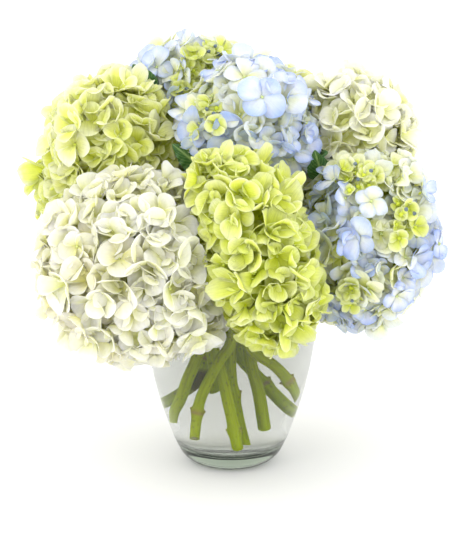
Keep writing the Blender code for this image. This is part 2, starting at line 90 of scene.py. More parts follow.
def curve_through(points: list | np.ndarray, spacing: float,
                  samples: int = 24) -> tuple[np.ndarray, np.ndarray]:
    """Evenly spaced points along a smooth curve through the given ones.

    The curve is the centripetal Catmull-Rom spline: between two points each coordinate is blended
    from straight lines whose knots lie the square root of the points' distance apart.

    Args:
        points: The points it passes through.
        spacing: The distance between the points returned.
        samples: How many points trace the curve between two given ones before it is spaced evenly.

    Returns:
        The points, and each one's length along the curve.
    """
    points = np.asarray(points, float)
    padded = np.vstack([2 * points[0] - points[1], points, 2 * points[-1] - points[-2]])
    gaps = np.sqrt(np.linalg.norm(np.diff(padded, axis=0), axis=1))
    knots = np.concatenate([[0], np.cumsum(gaps)])
    traced = []
    for k in range(1, len(padded) - 2):
        t = np.linspace(knots[k], knots[k + 1], samples, endpoint=k == len(padded) - 3)[:, None]
        p, q = padded[k - 1:k + 3], knots[k - 1:k + 3]
        a = [p[n] + (p[n + 1] - p[n]) * (t - q[n]) / (q[n + 1] - q[n]) for n in range(3)]
        b = [a[n] + (a[n + 1] - a[n]) * (t - q[n]) / (q[n + 2] - q[n]) for n in range(2)]
        traced.append(b[0] + (b[1] - b[0]) * (t - q[1]) / (q[2] - q[1]))
    traced = np.vstack(traced)
    length = np.concatenate([[0], np.cumsum(np.linalg.norm(np.diff(traced, axis=0), axis=1))])
    stations = np.linspace(0, length[-1], max(2, round(length[-1] / spacing)) + 1)
    return np.stack([np.interp(stations, length, traced[:, n]) for n in range(3)], 1), stations


def grid_faces(rows: int, columns: int, wrap: bool = False) -> np.ndarray:
    """The four-sided faces of a grid of points numbered row by row.

    Args:
        rows: Rows of points.
        columns: Points in a row.
        wrap: Whether the last point of a row joins the first.

    Returns:
        Four point numbers for each face.
    """
    here = np.arange(rows * columns).reshape(rows, columns)
    if wrap:
        here = np.hstack([here, here[:, :1]])
    return np.stack([here[:-1, :-1], here[:-1, 1:], here[1:, 1:], here[1:, :-1]], -1).reshape(-1, 4)


def fan(ring: np.ndarray, middle: int) -> np.ndarray:
    """Triangles from each side of a ring of point numbers to the number of a middle point."""
    return np.stack([ring, np.roll(ring, -1), np.full(len(ring), middle)], 1)


def domed_faces(rows: int, sides: int) -> list[np.ndarray]:
    """The faces of rings of points closed by two middle points that follow them.

    Args:
        rows: How many rings, from the low end to the high one.
        sides: Points in a ring.

    Returns:
        The four-sided faces between the rings, and the triangles of both ends.
    """
    count = rows * sides
    ring = np.arange(sides)
    ends = np.vstack([fan(ring[::-1], count), fan(count - sides + ring, count + 1)])
    return [grid_faces(rows, sides, wrap=True), ends]


def tube_faces(rows: int, sides: int) -> list[np.ndarray]:
    """The faces of rings of points closed by a flat end at each side.

    Args:
        rows: How many rings, from the start to the end.
        sides: Points in a ring.

    Returns:
        The four-sided faces between the rings, and the two ends.
    """
    ring = np.arange(sides)
    return [grid_faces(rows, sides, wrap=True), np.stack([ring[::-1], (rows - 1) * sides + ring])]


def circle(first: np.ndarray, second: np.ndarray, sides: int) -> np.ndarray:
    """Points at distance one round a middle: cosine of the turn times one axis, sine times the other.

    Args:
        first: An axis, or an array whose last axis holds them.
        second: As many axes, square to the first.
        sides: Points in a circle.

    Returns:
        The points, on a new axis before the last.
    """
    turn = (np.arange(sides) * 2 * math.pi / sides)[:, None]
    return np.cos(turn) * first[..., None, :] + np.sin(turn) * second[..., None, :]


def turned_surface(profile: np.ndarray | list, steps: int) -> tuple[np.ndarray, list[np.ndarray]]:
    """A closed solid of revolution.

    Each profile point goes round the Z axis: X and Y are its radius times the cosine and the sine of
    the turn, and its height is kept. The profile's two ends lie on the axis and become poles.

    Args:
        profile: (radius, height) from the axis at the foot, up the outside, to the axis again.
        steps: Points round it.

    Returns:
        The points, and the faces with their outer side outward.
    """
    body = np.array(profile[1:-1], float)[:, None]
    turn = np.arange(steps) * 2 * math.pi / steps
    rings = np.stack([body[..., 0] * np.cos(turn), body[..., 0] * np.sin(turn),
                      body[..., 1] * np.ones(steps)], -1).reshape(-1, 3)
    poles = [(0, 0, profile[0][1]), (0, 0, profile[-1][1])]
    return np.vstack([rings, poles]), domed_faces(len(body), steps)


class Batch:
    """Closed surfaces gathered into one mesh, each point with a tint and a place on its own surface."""

    def __init__(self) -> None:
        """Starts empty."""
        self.points: list[np.ndarray] = []
        self.tints: list[np.ndarray] = []
        self.rims: list[np.ndarray] = []
        self.places: list[np.ndarray] = []
        self.faces: list[np.ndarray] = []
        self.count = 0

    def add(self, points: np.ndarray, tints: np.ndarray, faces: list[np.ndarray],
            places: np.ndarray | float = 0.0, rims: np.ndarray | None = None) -> None:
        """Adds copies of one surface.

        Args:
            points: Copies by points by three, in millimetres.
            tints: A colour for every point, or anything that spreads to that.
            faces: Face arrays of one copy, each with its own number of sides.
            places: Two numbers for every point, or anything that spreads to that.
            rims: The colour at the edge for every point, where it differs from the tint.
        """
        copies, each = points.shape[:2]
        rims = tints if rims is None else rims
        self.points.append(points.reshape(-1, 3))
        self.tints.append(np.broadcast_to(tints, points.shape).reshape(-1, 3))
        self.rims.append(np.broadcast_to(rims, points.shape).reshape(-1, 3))
        self.places.append(np.broadcast_to(places, (copies, each, 2)).reshape(-1, 2))
        starts = self.count + np.arange(copies) * each
        for sides in faces:
            self.faces.append((sides[None] + starts[:, None, None]).reshape(-1, sides.shape[1]))
        self.count += copies * each

    def build(self, name: str, finish: bpy.types.Material, sharp: float = 60.0) -> bpy.types.Object:
        """Makes the object.

        Args:
            name: The object's name.
            finish: Its material.
            sharp: Degrees between faces past which their edge stays sharp.

        Returns:
            The new object, at the world's origin.
        """
        mesh = bpy.data.meshes.new(name)
        points = np.vstack(self.points) * MM
        loops = np.concatenate([sides.reshape(-1) for sides in self.faces])
        totals = np.concatenate([np.full(len(sides), sides.shape[1]) for sides in self.faces])
        mesh.vertices.add(len(points))
        mesh.vertices.foreach_set("co", points.astype(np.float32).reshape(-1))
        mesh.loops.add(len(loops))
        mesh.loops.foreach_set("vertex_index", loops.astype(np.int32))
        mesh.polygons.add(len(totals))
        starts = np.concatenate([[0], np.cumsum(totals)[:-1]])
        mesh.polygons.foreach_set("loop_start", starts.astype(np.int32))
        mesh.update(calc_edges=True)
        for layer, colours in (("tint", self.tints), ("rim", self.rims)):
            shades = np.ones((len(points), 4), np.float32)
            shades[:, :3] = np.clip(np.vstack(colours), 0, 1)
            attribute = mesh.color_attributes.new(layer, "FLOAT_COLOR", "POINT")
            attribute.data.foreach_set("color", shades.reshape(-1))
        places = np.vstack(self.places)[loops].astype(np.float32)
        mesh.uv_layers.new(name="place").data.foreach_set("uv", places.reshape(-1))
        log.info("%s: %d triangles", name, int((totals - 2).sum()))
        mesh.materials.append(finish)
        mesh.shade_smooth()
        mesh.set_sharp_from_angle(angle=math.radians(sharp))
        mesh.validate()
        made = bpy.data.objects.new(name, mesh)
        bpy.context.scene.collection.objects.link(made)
        return made


def thin_shell(surface: np.ndarray,
               thickness: float) -> tuple[np.ndarray, list[np.ndarray], np.ndarray]:
    """A closed thin shell about a grid surface: two faces that meet in a sharp rim.

    Inner points move half the thickness along the surface's normal, with it for the front and
    against it for the back. The points of the rim stay, and both faces share them.

    Args:
        surface: Copies by rows by columns by three.
        thickness: Its thickness in the middle.

    Returns:
        The shell's points, its faces, and for each point the number of its grid point.
    """
    copies, rows, columns = surface.shape[:3]
    along, across = np.gradient(surface, axis=1), np.gradient(surface, axis=2)
    normal = np.cross(across, along)
    normal /= np.maximum(np.linalg.norm(normal, axis=-1, keepdims=True), 1e-9)
    inner = np.zeros((rows, columns), bool)
    inner[1:-1, 1:-1] = True
    offset = normal * thickness / 2 * inner[None, :, :, None]
    points = np.concatenate([(surface + offset).reshape(copies, -1, 3),
                             (surface - offset)[:, inner]], 1)
    front = grid_faces(rows, columns)
    behind = np.arange(rows * columns)
    behind[inner.reshape(-1)] = rows * columns + np.arange(inner.sum())
    source = np.concatenate([np.arange(rows * columns), np.flatnonzero(inner)])
    return points, [front, behind[front[:, ::-1]]], source


class NodeSheet:
    """A material's node tree with its Principled shader and short ways to add nodes to it."""

    def __init__(self, name: str) -> None:
        """Makes the material.

        Args:
            name: The material's name.
        """
        self.material = bpy.data.materials.new(name)
        self.material.use_nodes = True
        self.tree = self.material.node_tree
        self.shader = self.tree.nodes["Principled BSDF"]
        self.output = self.tree.nodes["Material Output"]

    def set(self, **values: float | tuple) -> None:
        """Sets the shader's own sockets.

        Args:
            values: Socket names with underscores for spaces, and their values.
        """
        for name, value in values.items():
            self.shader.inputs[name.replace("_", " ")].default_value = value

    def add(self, kind: str, inputs: dict | None = None, **settings: object) -> bpy.types.Node:
        """Adds a node.

        Args:
            kind: Its type name without the ShaderNode prefix.
            inputs: Input numbers or names, each with a value or the socket to link to it.
            settings: Properties of the node.

        Returns:
            The node.
        """
        node = self.tree.nodes.new("ShaderNode" + kind)
        for name, value in settings.items():
            setattr(node, name, value)
        for key, value in (inputs or {}).items():
            if isinstance(value, bpy.types.NodeSocket):
                self.tree.links.new(value, node.inputs[key])
            else:
                node.inputs[key].default_value = value
        return node

    def link(self, socket: bpy.types.NodeSocket, name: str) -> None:
        """Links a socket to one of the shader's inputs."""
        self.tree.links.new(socket, self.shader.inputs[name])

    def layer(self, name: str) -> bpy.types.NodeSocket:
        """The colour that a mesh's points carry in one of its layers."""
        return self.add("Attribute", attribute_name=name).outputs["Color"]

    def place(self) -> bpy.types.NodeSocket:
        """A point's place on its own surface."""
        return self.add("UVMap", uv_map="place").outputs["UV"]

    def spot(self) -> bpy.types.NodeSocket:
        """A point's place in the object, in metres."""
        return self.add("TexCoord").outputs["Object"]

    def noise(self, where: bpy.types.NodeSocket, scale: float, detail: float) -> bpy.types.NodeSocket:
        """A cloudy value between 0 and 1."""
        return self.add("TexNoise", {"Vector": where, "Scale": scale, "Detail": detail}).outputs["Fac"]

    def math(self, operation: str, *values: bpy.types.NodeSocket | float) -> bpy.types.NodeSocket:
        """The result of an operation on numbers."""
        return self.add("Math", dict(enumerate(values)), operation=operation).outputs[0]

    def vector(self, operation: str, *values: bpy.types.NodeSocket | tuple) -> bpy.types.NodeSocket:
        """The result of an operation on vectors or colours."""
        return self.add("VectorMath", dict(enumerate(values)), operation=operation).outputs["Vector"]

    def blend(self, share: bpy.types.NodeSocket, first: bpy.types.NodeSocket,
              second: bpy.types.NodeSocket | tuple) -> bpy.types.NodeSocket:
        """A mix of two colours, the first where the share is 0 and the second where it is 1."""
        return self.add("Mix", {"Factor": share, "A": first, "B": second}, data_type="RGBA").outputs[2]

    def between(self, value: bpy.types.NodeSocket, reach: tuple[float, float],
                result: tuple[float, float], kind: str = "LINEAR") -> bpy.types.NodeSocket:
        """A value's place in one range carried over to another range.

        Args:
            value: The value.
            reach: The two ends of its range.
            result: What each end becomes. Past an end it stays at that.
            kind: How it runs from one to the other.

        Returns:
            The new value.
        """
        node = self.add("MapRange", {"Value": value, "From Min": reach[0], "From Max": reach[1],
                                     "To Min": result[0], "To Max": result[1]}, interpolation_type=kind)
        return node.outputs["Result"]

    def raise_by(self, height: bpy.types.NodeSocket, strength: float, distance: float) -> None:
        """Gives the surface a relief of a height between 0 and 1 times a distance in millimetres."""
        relief = self.add("Bump", {"Height": height, "Strength": strength, "Distance": distance * MM})
        self.link(relief.outputs["Normal"], "Normal")


@dataclass(frozen=True)
class PetalFinish:
    """Petal skin: soft, half see-through, veined along each petal, with a rim of its own colour.

    That rim colour is partly the petal's own paler or bluer edge and partly a painted highlight
    along its thin bright edge.

    Attributes:
        name: The material's name.
        rim_start: Where the rim's colour starts, from 0 in the petal's middle to 1 at its edge.
        rim_full: Where it is complete.
        fleck: How strongly darker flecks show along the veins.
        roughness: How matt the skin is.
        gloss: Strength of its reflections.
        velvet: Strength of the soft light at its outline.
        scatter: Share of light that scatters inside the petal.
        scatter_reach: How far red, green and blue light scatters, as shares of 4 mm.
        mottle: How much the tint wanders over a petal.
        cloud_scale: How many clouds of that lie in a metre.
        ragged: How far the rim's inner edge wanders.
        vein_height: Height of the veins in millimetres.
    """

    name: str
    rim_start: float
    rim_full: float
    fleck: float
    roughness: float = 0.55
    gloss: float = 0.12
    velvet: float = 0.03
    scatter: float = 0.60
    scatter_reach: tuple[float, float, float] = (1.0, 1.0, 0.45)
    mottle: float = 0.08
    cloud_scale: float = 160.0
    ragged: float = 0.06
    vein_height: float = 0.30

    def build(self) -> bpy.types.Material:
        """Makes the material.

        The distance to the edge, the larger of a point's two places, with clouds added, decides
        between the petal's colour and its rim's. Clouds stretched along the petal are its veins.

        Returns:
            The material.
        """
        sheet = NodeSheet(self.name)
        sheet.set(Roughness=self.roughness, Specular_IOR_Level=self.gloss, Sheen_Weight=self.velvet,
                  Sheen_Roughness=0.5, Subsurface_Weight=self.scatter,
                  Subsurface_Radius=self.scatter_reach, Subsurface_Scale=0.004)
        place, spot = sheet.place(), sheet.spot()
        cloud = sheet.noise(spot, self.cloud_scale, 3.0)
        parts = sheet.add("SeparateXYZ", {"Vector": place}).outputs
        edge = sheet.math("MAXIMUM", sheet.math("ABSOLUTE", parts["X"]), parts["Y"])
        wandering = sheet.math("MULTIPLY_ADD", cloud, self.ragged * 2, edge)
        share = sheet.between(wandering, (self.rim_start + self.ragged, self.rim_full + self.ragged),
                              (0.0, 1.0), "SMOOTHSTEP")
        # The rim colour: partly the petal's own edge colour, partly painted highlight on the thin edge.
        skin = sheet.blend(share, sheet.layer("tint"), sheet.layer("rim"))
        shift = sheet.vector("MULTIPLY", spot, (60.0, 60.0, 60.0))
        vein = sheet.noise(sheet.vector("MULTIPLY_ADD", place, (7.0, 1.1, 0.0), shift), 1.6, 2.5)
        streak = sheet.between(vein, (0.36, 0.56), (1.0 - self.fleck, 1.0))
        shade = sheet.between(cloud, (0.3, 0.7), (1.0 - self.mottle, 1.0 + self.mottle * 0.5))
        colour = sheet.vector("MULTIPLY", skin, sheet.math("MULTIPLY", streak, shade))
        sheet.link(colour, "Base Color")
        sheet.raise_by(vein, 0.6, self.vein_height)
        return sheet.material


@dataclass(frozen=True)
class StemFinish:
    """A cut stem's skin: smooth green with fine lengthwise streaks and small brown specks.

    Attributes:
        name: The material's name.
        roughness: How matt the skin is.
        gloss: Strength of its reflections.
        scatter: Share of light that scatters inside it.
        speck: The specks' colour.
        speck_scale: How many specks lie along a metre.
    """

    name: str = "stem_skin"
    roughness: float = 0.45
    gloss: float = 0.04
    scatter: float = 0.08
    speck: str = "5E5A2C"
    speck_scale: float = 260.0

    def build(self) -> bpy.types.Material:
        """Makes the material.

        Returns:
            The material.
        """
        sheet = NodeSheet(self.name)
        sheet.set(Roughness=self.roughness, Specular_IOR_Level=self.gloss,
                  Subsurface_Weight=self.scatter, Subsurface_Radius=(0.6, 1.0, 0.3),
                  Subsurface_Scale=0.002)
        stretched = sheet.add("Mapping", {"Vector": sheet.place(), "Scale": (14.0, 0.6, 1.0)})
        streak = sheet.noise(stretched.outputs["Vector"], 1.6, 3.0)
        shade = sheet.between(streak, (0.3, 0.7), (0.78, 1.15))
        skin = sheet.vector("MULTIPLY", sheet.layer("tint"), shade)
        specks = sheet.add("TexVoronoi", {"Vector": sheet.spot(), "Scale": self.speck_scale})
        dots = sheet.between(specks.outputs["Distance"], (0.16, 0.24), (0.55, 0.0))
        sheet.link(sheet.blend(dots, skin, (*tone(self.speck), 1.0)), "Base Color")
        sheet.raise_by(streak, 0.4, 0.3)
        return sheet.material


@dataclass(frozen=True)
class LeafFinish:
    """Leaf skin: dark green with paler side veins that run forward from the midrib.

    Attributes:
        name: The material's name.
        roughness: How matt the skin is.
        gloss: Strength of its reflections.
        scatter: Share of light that scatters inside it.
        vein: The side veins' colour.
        vein_pace: How fast the side veins follow each other.
        vein_lean: How far they run forward on their way to the rim.
    """

    name: str = "leaf_skin"
    roughness: float = 0.42
    gloss: float = 0.45
    scatter: float = 0.12
    vein: str = "86A05A"
    vein_pace: float = 60.0
    vein_lean: float = 0.35

    def build(self) -> bpy.types.Material:
        """Makes the material.

        A side vein lies at each crest of a sine of the place along the leaf, less the vein's lean
        times the distance from the midrib.

        Returns:
            The material.
        """
        sheet = NodeSheet(self.name)
        sheet.set(Roughness=self.roughness, Specular_IOR_Level=self.gloss,
                  Subsurface_Weight=self.scatter, Subsurface_Radius=(0.5, 1.0, 0.2),
                  Subsurface_Scale=0.002)
        parts = sheet.add("SeparateXYZ", {"Vector": sheet.place()}).outputs
        side = sheet.math("ABSOLUTE", parts["X"])
        ahead = sheet.math("MULTIPLY_ADD", side, -self.vein_lean, parts["Y"])
        wave = sheet.math("SINE", sheet.math("MULTIPLY", ahead, self.vein_pace))
        line = sheet.between(wave, (0.86, 1.0), (0.0, 0.6))
        sheet.link(sheet.blend(line, sheet.layer("tint"), (*tone(self.vein), 1.0)), "Base Color")
        sheet.raise_by(line, 0.6, 0.4)
        return sheet.material


@dataclass(frozen=True)
class ClearFinish:
    """Glass or water: clear, smooth, tinted by its depth, and open to the lamps' light.

    Attributes:
        name: The material's name.
        bend: Its index of refraction.
        depth_tint: The colour that light keeps on its way through.
        depth_density: How strongly it tints, per metre.
        shine: The share of its head-on reflections that shows.
        shadow_tint: The colour of a lamp's light once it has passed through a surface.
    """

    name: str
    bend: float
    depth_tint: tuple[float, float, float]
    depth_density: float
    shine: float = 0.35
    shadow_tint: tuple[float, float, float] = (0.95, 0.97, 0.95)

    def build(self) -> bpy.types.Material:
        """Makes the material.

        Returns:
            The material.
        """
        sheet = NodeSheet(self.name)
        sheet.set(Base_Color=(1.0, 1.0, 1.0, 1.0), Roughness=0.0, IOR=self.bend,
                  Transmission_Weight=1.0, Specular_Tint=(self.shine, self.shine, self.shine, 1.0))
        rays = sheet.add("LightPath")
        passing = sheet.add("BsdfTransparent", {"Color": (*self.shadow_tint, 1.0)})
        lit = sheet.add("MixShader", {0: rays.outputs["Is Shadow Ray"], 1: sheet.shader.outputs["BSDF"],
                                      2: passing.outputs["BSDF"]})
        sheet.tree.links.new(lit.outputs["Shader"], sheet.output.inputs["Surface"])
        inside = sheet.add("VolumeAbsorption", {"Color": (*self.depth_tint, 1.0),
                                                "Density": self.depth_density})
        sheet.tree.links.new(inside.outputs["Volume"], sheet.output.inputs["Volume"])
        return sheet.material


class Hue(Enum):
    """The colours of head in the bouquet."""

    LIME = "lime"
    WHITE = "white"
    BLUE = "blue"
    CREAM = "cream"


@dataclass(frozen=True)
class Palette:
    """The tints of one colour of head, as six hex digits.

    Attributes:
        claw: Where the petals meet, in each of the palette's stages.
        blade: The petal's middle, in each stage.
        rim: Its edge, in each stage: partly the petal's own edge colour, partly a painted
        highlight along its thin bright edge.
        depth: Stalks and core in the depth of the head, and the painted shade that petals deep
        in the head take on.
        button: The small knob in a floret's middle.
        young: Unopened florets, which turn paler as they open.
        spread: How far chance moves a floret between the stages.
    """

    claw: tuple[str, ...]
    blade: tuple[str, ...]
    rim: tuple[str, ...]
    depth: str
    button: str
    young: str
    spread: float = 0.2

    def mix(self, part: str, share: np.ndarray) -> np.ndarray:
        """Colours of one part of the petals.

        Args:
            part: claw, blade or rim.
            share: Where each petal stands between the first stage, 0, and the last, 1.

        Returns:
            One colour per petal.
        """
        stages = np.array([tone(code) for code in getattr(self, part)])
        steps = np.linspace(0, 1, len(stages))
        return np.stack([np.interp(share, steps, stages[:, n]) for n in range(3)], 1)

    def unopened(self) -> "Palette":
        """The palette of the young florets, from green in the first stage to paler in the last."""
        return Palette((self.depth, self.young), (self.young, "D2DC6C"), ("DDE48C", "E6EBA6"),
                       self.young, self.young, self.young)


# Each depth colour is the green of stalks and core, and also the painted shade of deep petals
PALETTES = {
    Hue.LIME: Palette(("C3D222", "D5DE37", "E2E86A"), ("D4E054", "E4EC74", "F3F4A8"),
                      ("E6EE88", "F2F5AC", "FAFAD0"), "DCE81E", "C8D658", "C6D840"),
    Hue.WHITE: Palette(("DCE164", "E6EA7E", "ECE682"), ("F3F3D3", "F8F7D7", "FBF5CE"),
                       ("FDFCEF", "FEFDEE", "FDF9DF"), "ECE660", "CAD480", "D8DE6C", 0.22),
    Hue.BLUE: Palette(("D4DE50", "E2E680", "E8ECB4", "DCE6DE"),
                      ("ECF0A0", "F3F4CE", "F0F3E8", "CEDAF6"),
                      ("F7F8C6", "E8F0EC", "A6BCEE", "88A4E8"), "D0DC46", "B4C284", "CCDA44", 0.26),
    Hue.CREAM: Palette(("D4E04C", "E6EC78", "EEF0A0"), ("EEF192", "F7F7CC", "FBFBE4"),
                       ("F8F8C0", "FCFBE2", "FFFFF2"), "E0E654", "C8D280", "D2DE50", 0.22),
}


@dataclass(frozen=True)
class PetalStyle:
    """How the florets of one kind of head are shaped, as (mean, spread) pairs where they vary.

    Attributes:
        spacing: Millimetres between neighbouring florets.
        length: Petal length in millimetres.
        width: Half its width, as a share of its length.
        rise: Its slope as it leaves the middle.
        bend: How far its outer half rises again, or falls.
        cup: How far its sides rise.
        ruffle: Height of the waves along its rim, as a share of its length.
        bow: How far it bows sideways, as a share of its length.
        point: How far its tip is drawn out.
        crease: Slope of its two halves up from the middle line.
        lean: Degrees that a floret leans from the head's own outward direction.
        sink: Millimetres that its seat lies below the head's surface.
        tilt: Slope across a petal, which turns the four into a pinwheel.
        differ: How far petals of one floret differ in length, in rise, in bend and in turn.
        claw_width: The petal's width at its claw, as a share of the widest.
        claw_end: Where along the petal it has its full width.
    """

    spacing: float = 22.5
    length: tuple[float, float] = (17.0, 1.8)
    width: tuple[float, float] = (0.58, 0.04)
    rise: tuple[float, float] = (0.40, 0.18)
    bend: tuple[float, float] = (-0.08, 0.22)
    cup: tuple[float, float] = (0.25, 0.20)
    ruffle: float = 0.03
    bow: tuple[float, float] = (0.0, 0.07)
    point: tuple[float, float] = (0.0, 0.05)
    crease: tuple[float, float] = (0.05, 0.10)
    lean: float = 0.0
    sink: tuple[float, float] = (0.0, 0.0)
    tilt: tuple[float, float] = (0.16, 0.10)
    differ: tuple[float, float, float, float] = (0.06, 0.10, 0.12, 0.09)
    claw_width: float = 0.42
    claw_end: float = 0.62


@dataclass(frozen=True)
class YoungPatch:
    """A patch of small unopened florets and round buds on a head.

    Attributes:
        towards: The direction in which it lies from the head's middle.
        spread: Its radius in degrees.
        florets: How many small florets it has.
        buds: How many round buds stand in it.
    """

    towards: tuple[float, float, float]
    spread: float
    florets: int
    buds: int = 0


@dataclass(frozen=True)
class Wash:
    """A part of a head whose florets are in one stage of the palette.

    Attributes:
        towards: The direction in which it lies from the head's middle.
        spread: Its radius in degrees.
        stage: Its place in the palette.
    """

    towards: tuple[float, float, float]
    spread: float
    stage: float


@dataclass(frozen=True)
class ShownFloret:
    """One large floret that lies open on top of the others.

    Attributes:
        towards: The direction in which it lies from the head's middle.
        size: A factor on its size.
        stage: Its place in the palette.
    """

    towards: tuple[float, float, float]
    size: float
    stage: float


@dataclass(frozen=True)
class Bloom:
    """One flower head and its stem.

    Attributes:
        name: Its name in the frame's nodes.
        hue: Its colour.
        centre: The head's middle.
        radii: Its half sizes along X, Y and Z.
        neck: Where the stem meets the head.
        route: Points of the stem from its cut foot upwards.
        nodes: Lengths along the stem at which it has a node.
        seed: The number that its chance details grow from.
        style: The shape of its florets.
        stage_towards: The direction in which its florets are furthest through the palette.
        stage: Their mean place in the palette, and how much the direction changes it.
        patches: Its patches of young florets.
        washes: The parts of it with a colour stage of their own.
        shows: Its placed florets.
        stem_light: A factor on its stem's colour.
        old_wood_and_shade: Where along the stem its dark brown part lies, and how long that is. The
        part is old wood, darkened further as painted shade where the stem lies behind the others.
        slant: How far the head's middle moves towards +X for each millimetre down.
    """

    name: str
    hue: Hue
    centre: tuple[float, float, float]
    radii: tuple[float, float, float]
    neck: tuple[float, float, float]
    route: tuple[tuple[float, float, float], ...]
    nodes: tuple[float, ...]
    seed: int
    style: PetalStyle
    stage_towards: tuple[float, float, float]
    stage: tuple[float, float]
    patches: tuple[YoungPatch, ...] = ()
    washes: tuple[Wash, ...] = ()
    shows: tuple[ShownFloret, ...] = ()
    stem_light: float = 1.0
    old_wood_and_shade: tuple[float, float] = (-100.0, 1.0)
    slant: float = 0.0

    @property
    def axis(self) -> np.ndarray:
        """The direction in which the stem enters the head."""
        return unit(np.subtract(self.centre, self.neck))

    def reach(self, direction: np.ndarray) -> float:
        """How far the head reaches from its middle plane in a direction."""
        turned = direction - np.array([0.0, 0.0, self.slant * direction[0]])
        return float(np.linalg.norm(self.radii * turned))

    def slanted(self, offsets: np.ndarray) -> np.ndarray:
        """Offsets from the middle of the upright head, moved to where the slanted head has them."""
        return offsets - offsets[..., 2:3] * np.array([self.slant, 0.0, 0.0])

    def height_share(self, points: np.ndarray) -> np.ndarray:
        """How far out points lie: 0 in the head's middle, 1 on its surface.

        Args:
            points: The points, on the last axis.

        Returns:
            One number for each point, on a last axis of its own.
        """
        offsets = points - np.array(self.centre)
        upright = offsets + offsets[..., 2:3] * np.array([self.slant, 0.0, 0.0])
        return np.linalg.norm(upright / self.radii, axis=-1, keepdims=True)


LIME_STYLE = PetalStyle(spacing=20.0, length=(17.0, 2.4), width=(0.57, 0.05), rise=(0.62, 0.32),
                        bend=(-0.10, 0.30), cup=(0.45, 0.25), ruffle=0.06, bow=(0.0, 0.08),
                        point=(0.03, 0.05), crease=(0.03, 0.08), lean=36.0, sink=(11.5, 3.8))
RUFFLED_STYLE = PetalStyle(spacing=19.5, length=(16.8, 1.9), width=(0.55, 0.05), rise=(0.60, 0.36),
                           bend=(-0.08, 0.34), cup=(0.40, 0.28), ruffle=0.085, bow=(0.0, 0.08),
                           point=(0.02, 0.05), crease=(0.03, 0.08), lean=38.0, sink=(11.5, 4.2))
WHITE_STYLE = PetalStyle(spacing=20.0, length=(17.4, 2.4), width=(0.60, 0.05), rise=(0.60, 0.30),
                         bend=(-0.08, 0.26), cup=(0.45, 0.22), ruffle=0.035, crease=(0.0, 0.05),
                         lean=34.0, sink=(11.0, 3.8))
BLUE_STYLE = PetalStyle(spacing=21.0, length=(16.0, 3.2), width=(0.55, 0.05), rise=(0.42, 0.28),
                        bend=(-0.08, 0.24), cup=(0.28, 0.22), ruffle=0.035, point=(0.02, 0.04),
                        crease=(0.0, 0.06), lean=32.0, sink=(11.5, 4.5))
CREAM_STYLE = PetalStyle(spacing=20.5, length=(16.5, 2.8), width=(0.60, 0.05), rise=(0.55, 0.28),
                         bend=(-0.08, 0.26), cup=(0.40, 0.22), ruffle=0.04, crease=(0.0, 0.06),
                         lean=34.0, sink=(11.0, 3.8))
SMALL_STYLE = PetalStyle(spacing=18.5, length=(14.0, 2.4), width=(0.56, 0.05), rise=(0.46, 0.28),
                         bend=(-0.08, 0.24), cup=(0.32, 0.22), ruffle=0.04, point=(0.02, 0.04),
                         crease=(0.0, 0.06), lean=34.0, sink=(10.5, 4.0))
YOUNG_STYLE = PetalStyle(length=(9.0, 1.6), width=(0.62, 0.05), rise=(0.75, 0.25), bend=(-0.2, 0.2),
                         cup=(0.5, 0.2), lean=22.0, sink=(7.0, 2.5))
SHOW_STYLE = PetalStyle(length=(17.0, 1.0), width=(0.54, 0.05), rise=(0.26, 0.08), bend=(-0.16, 0.12),
                        cup=(0.18, 0.12), ruffle=0.045, bow=(0.0, 0.07), point=(0.05, 0.03),
                        crease=(0.03, 0.05), lean=13.0)

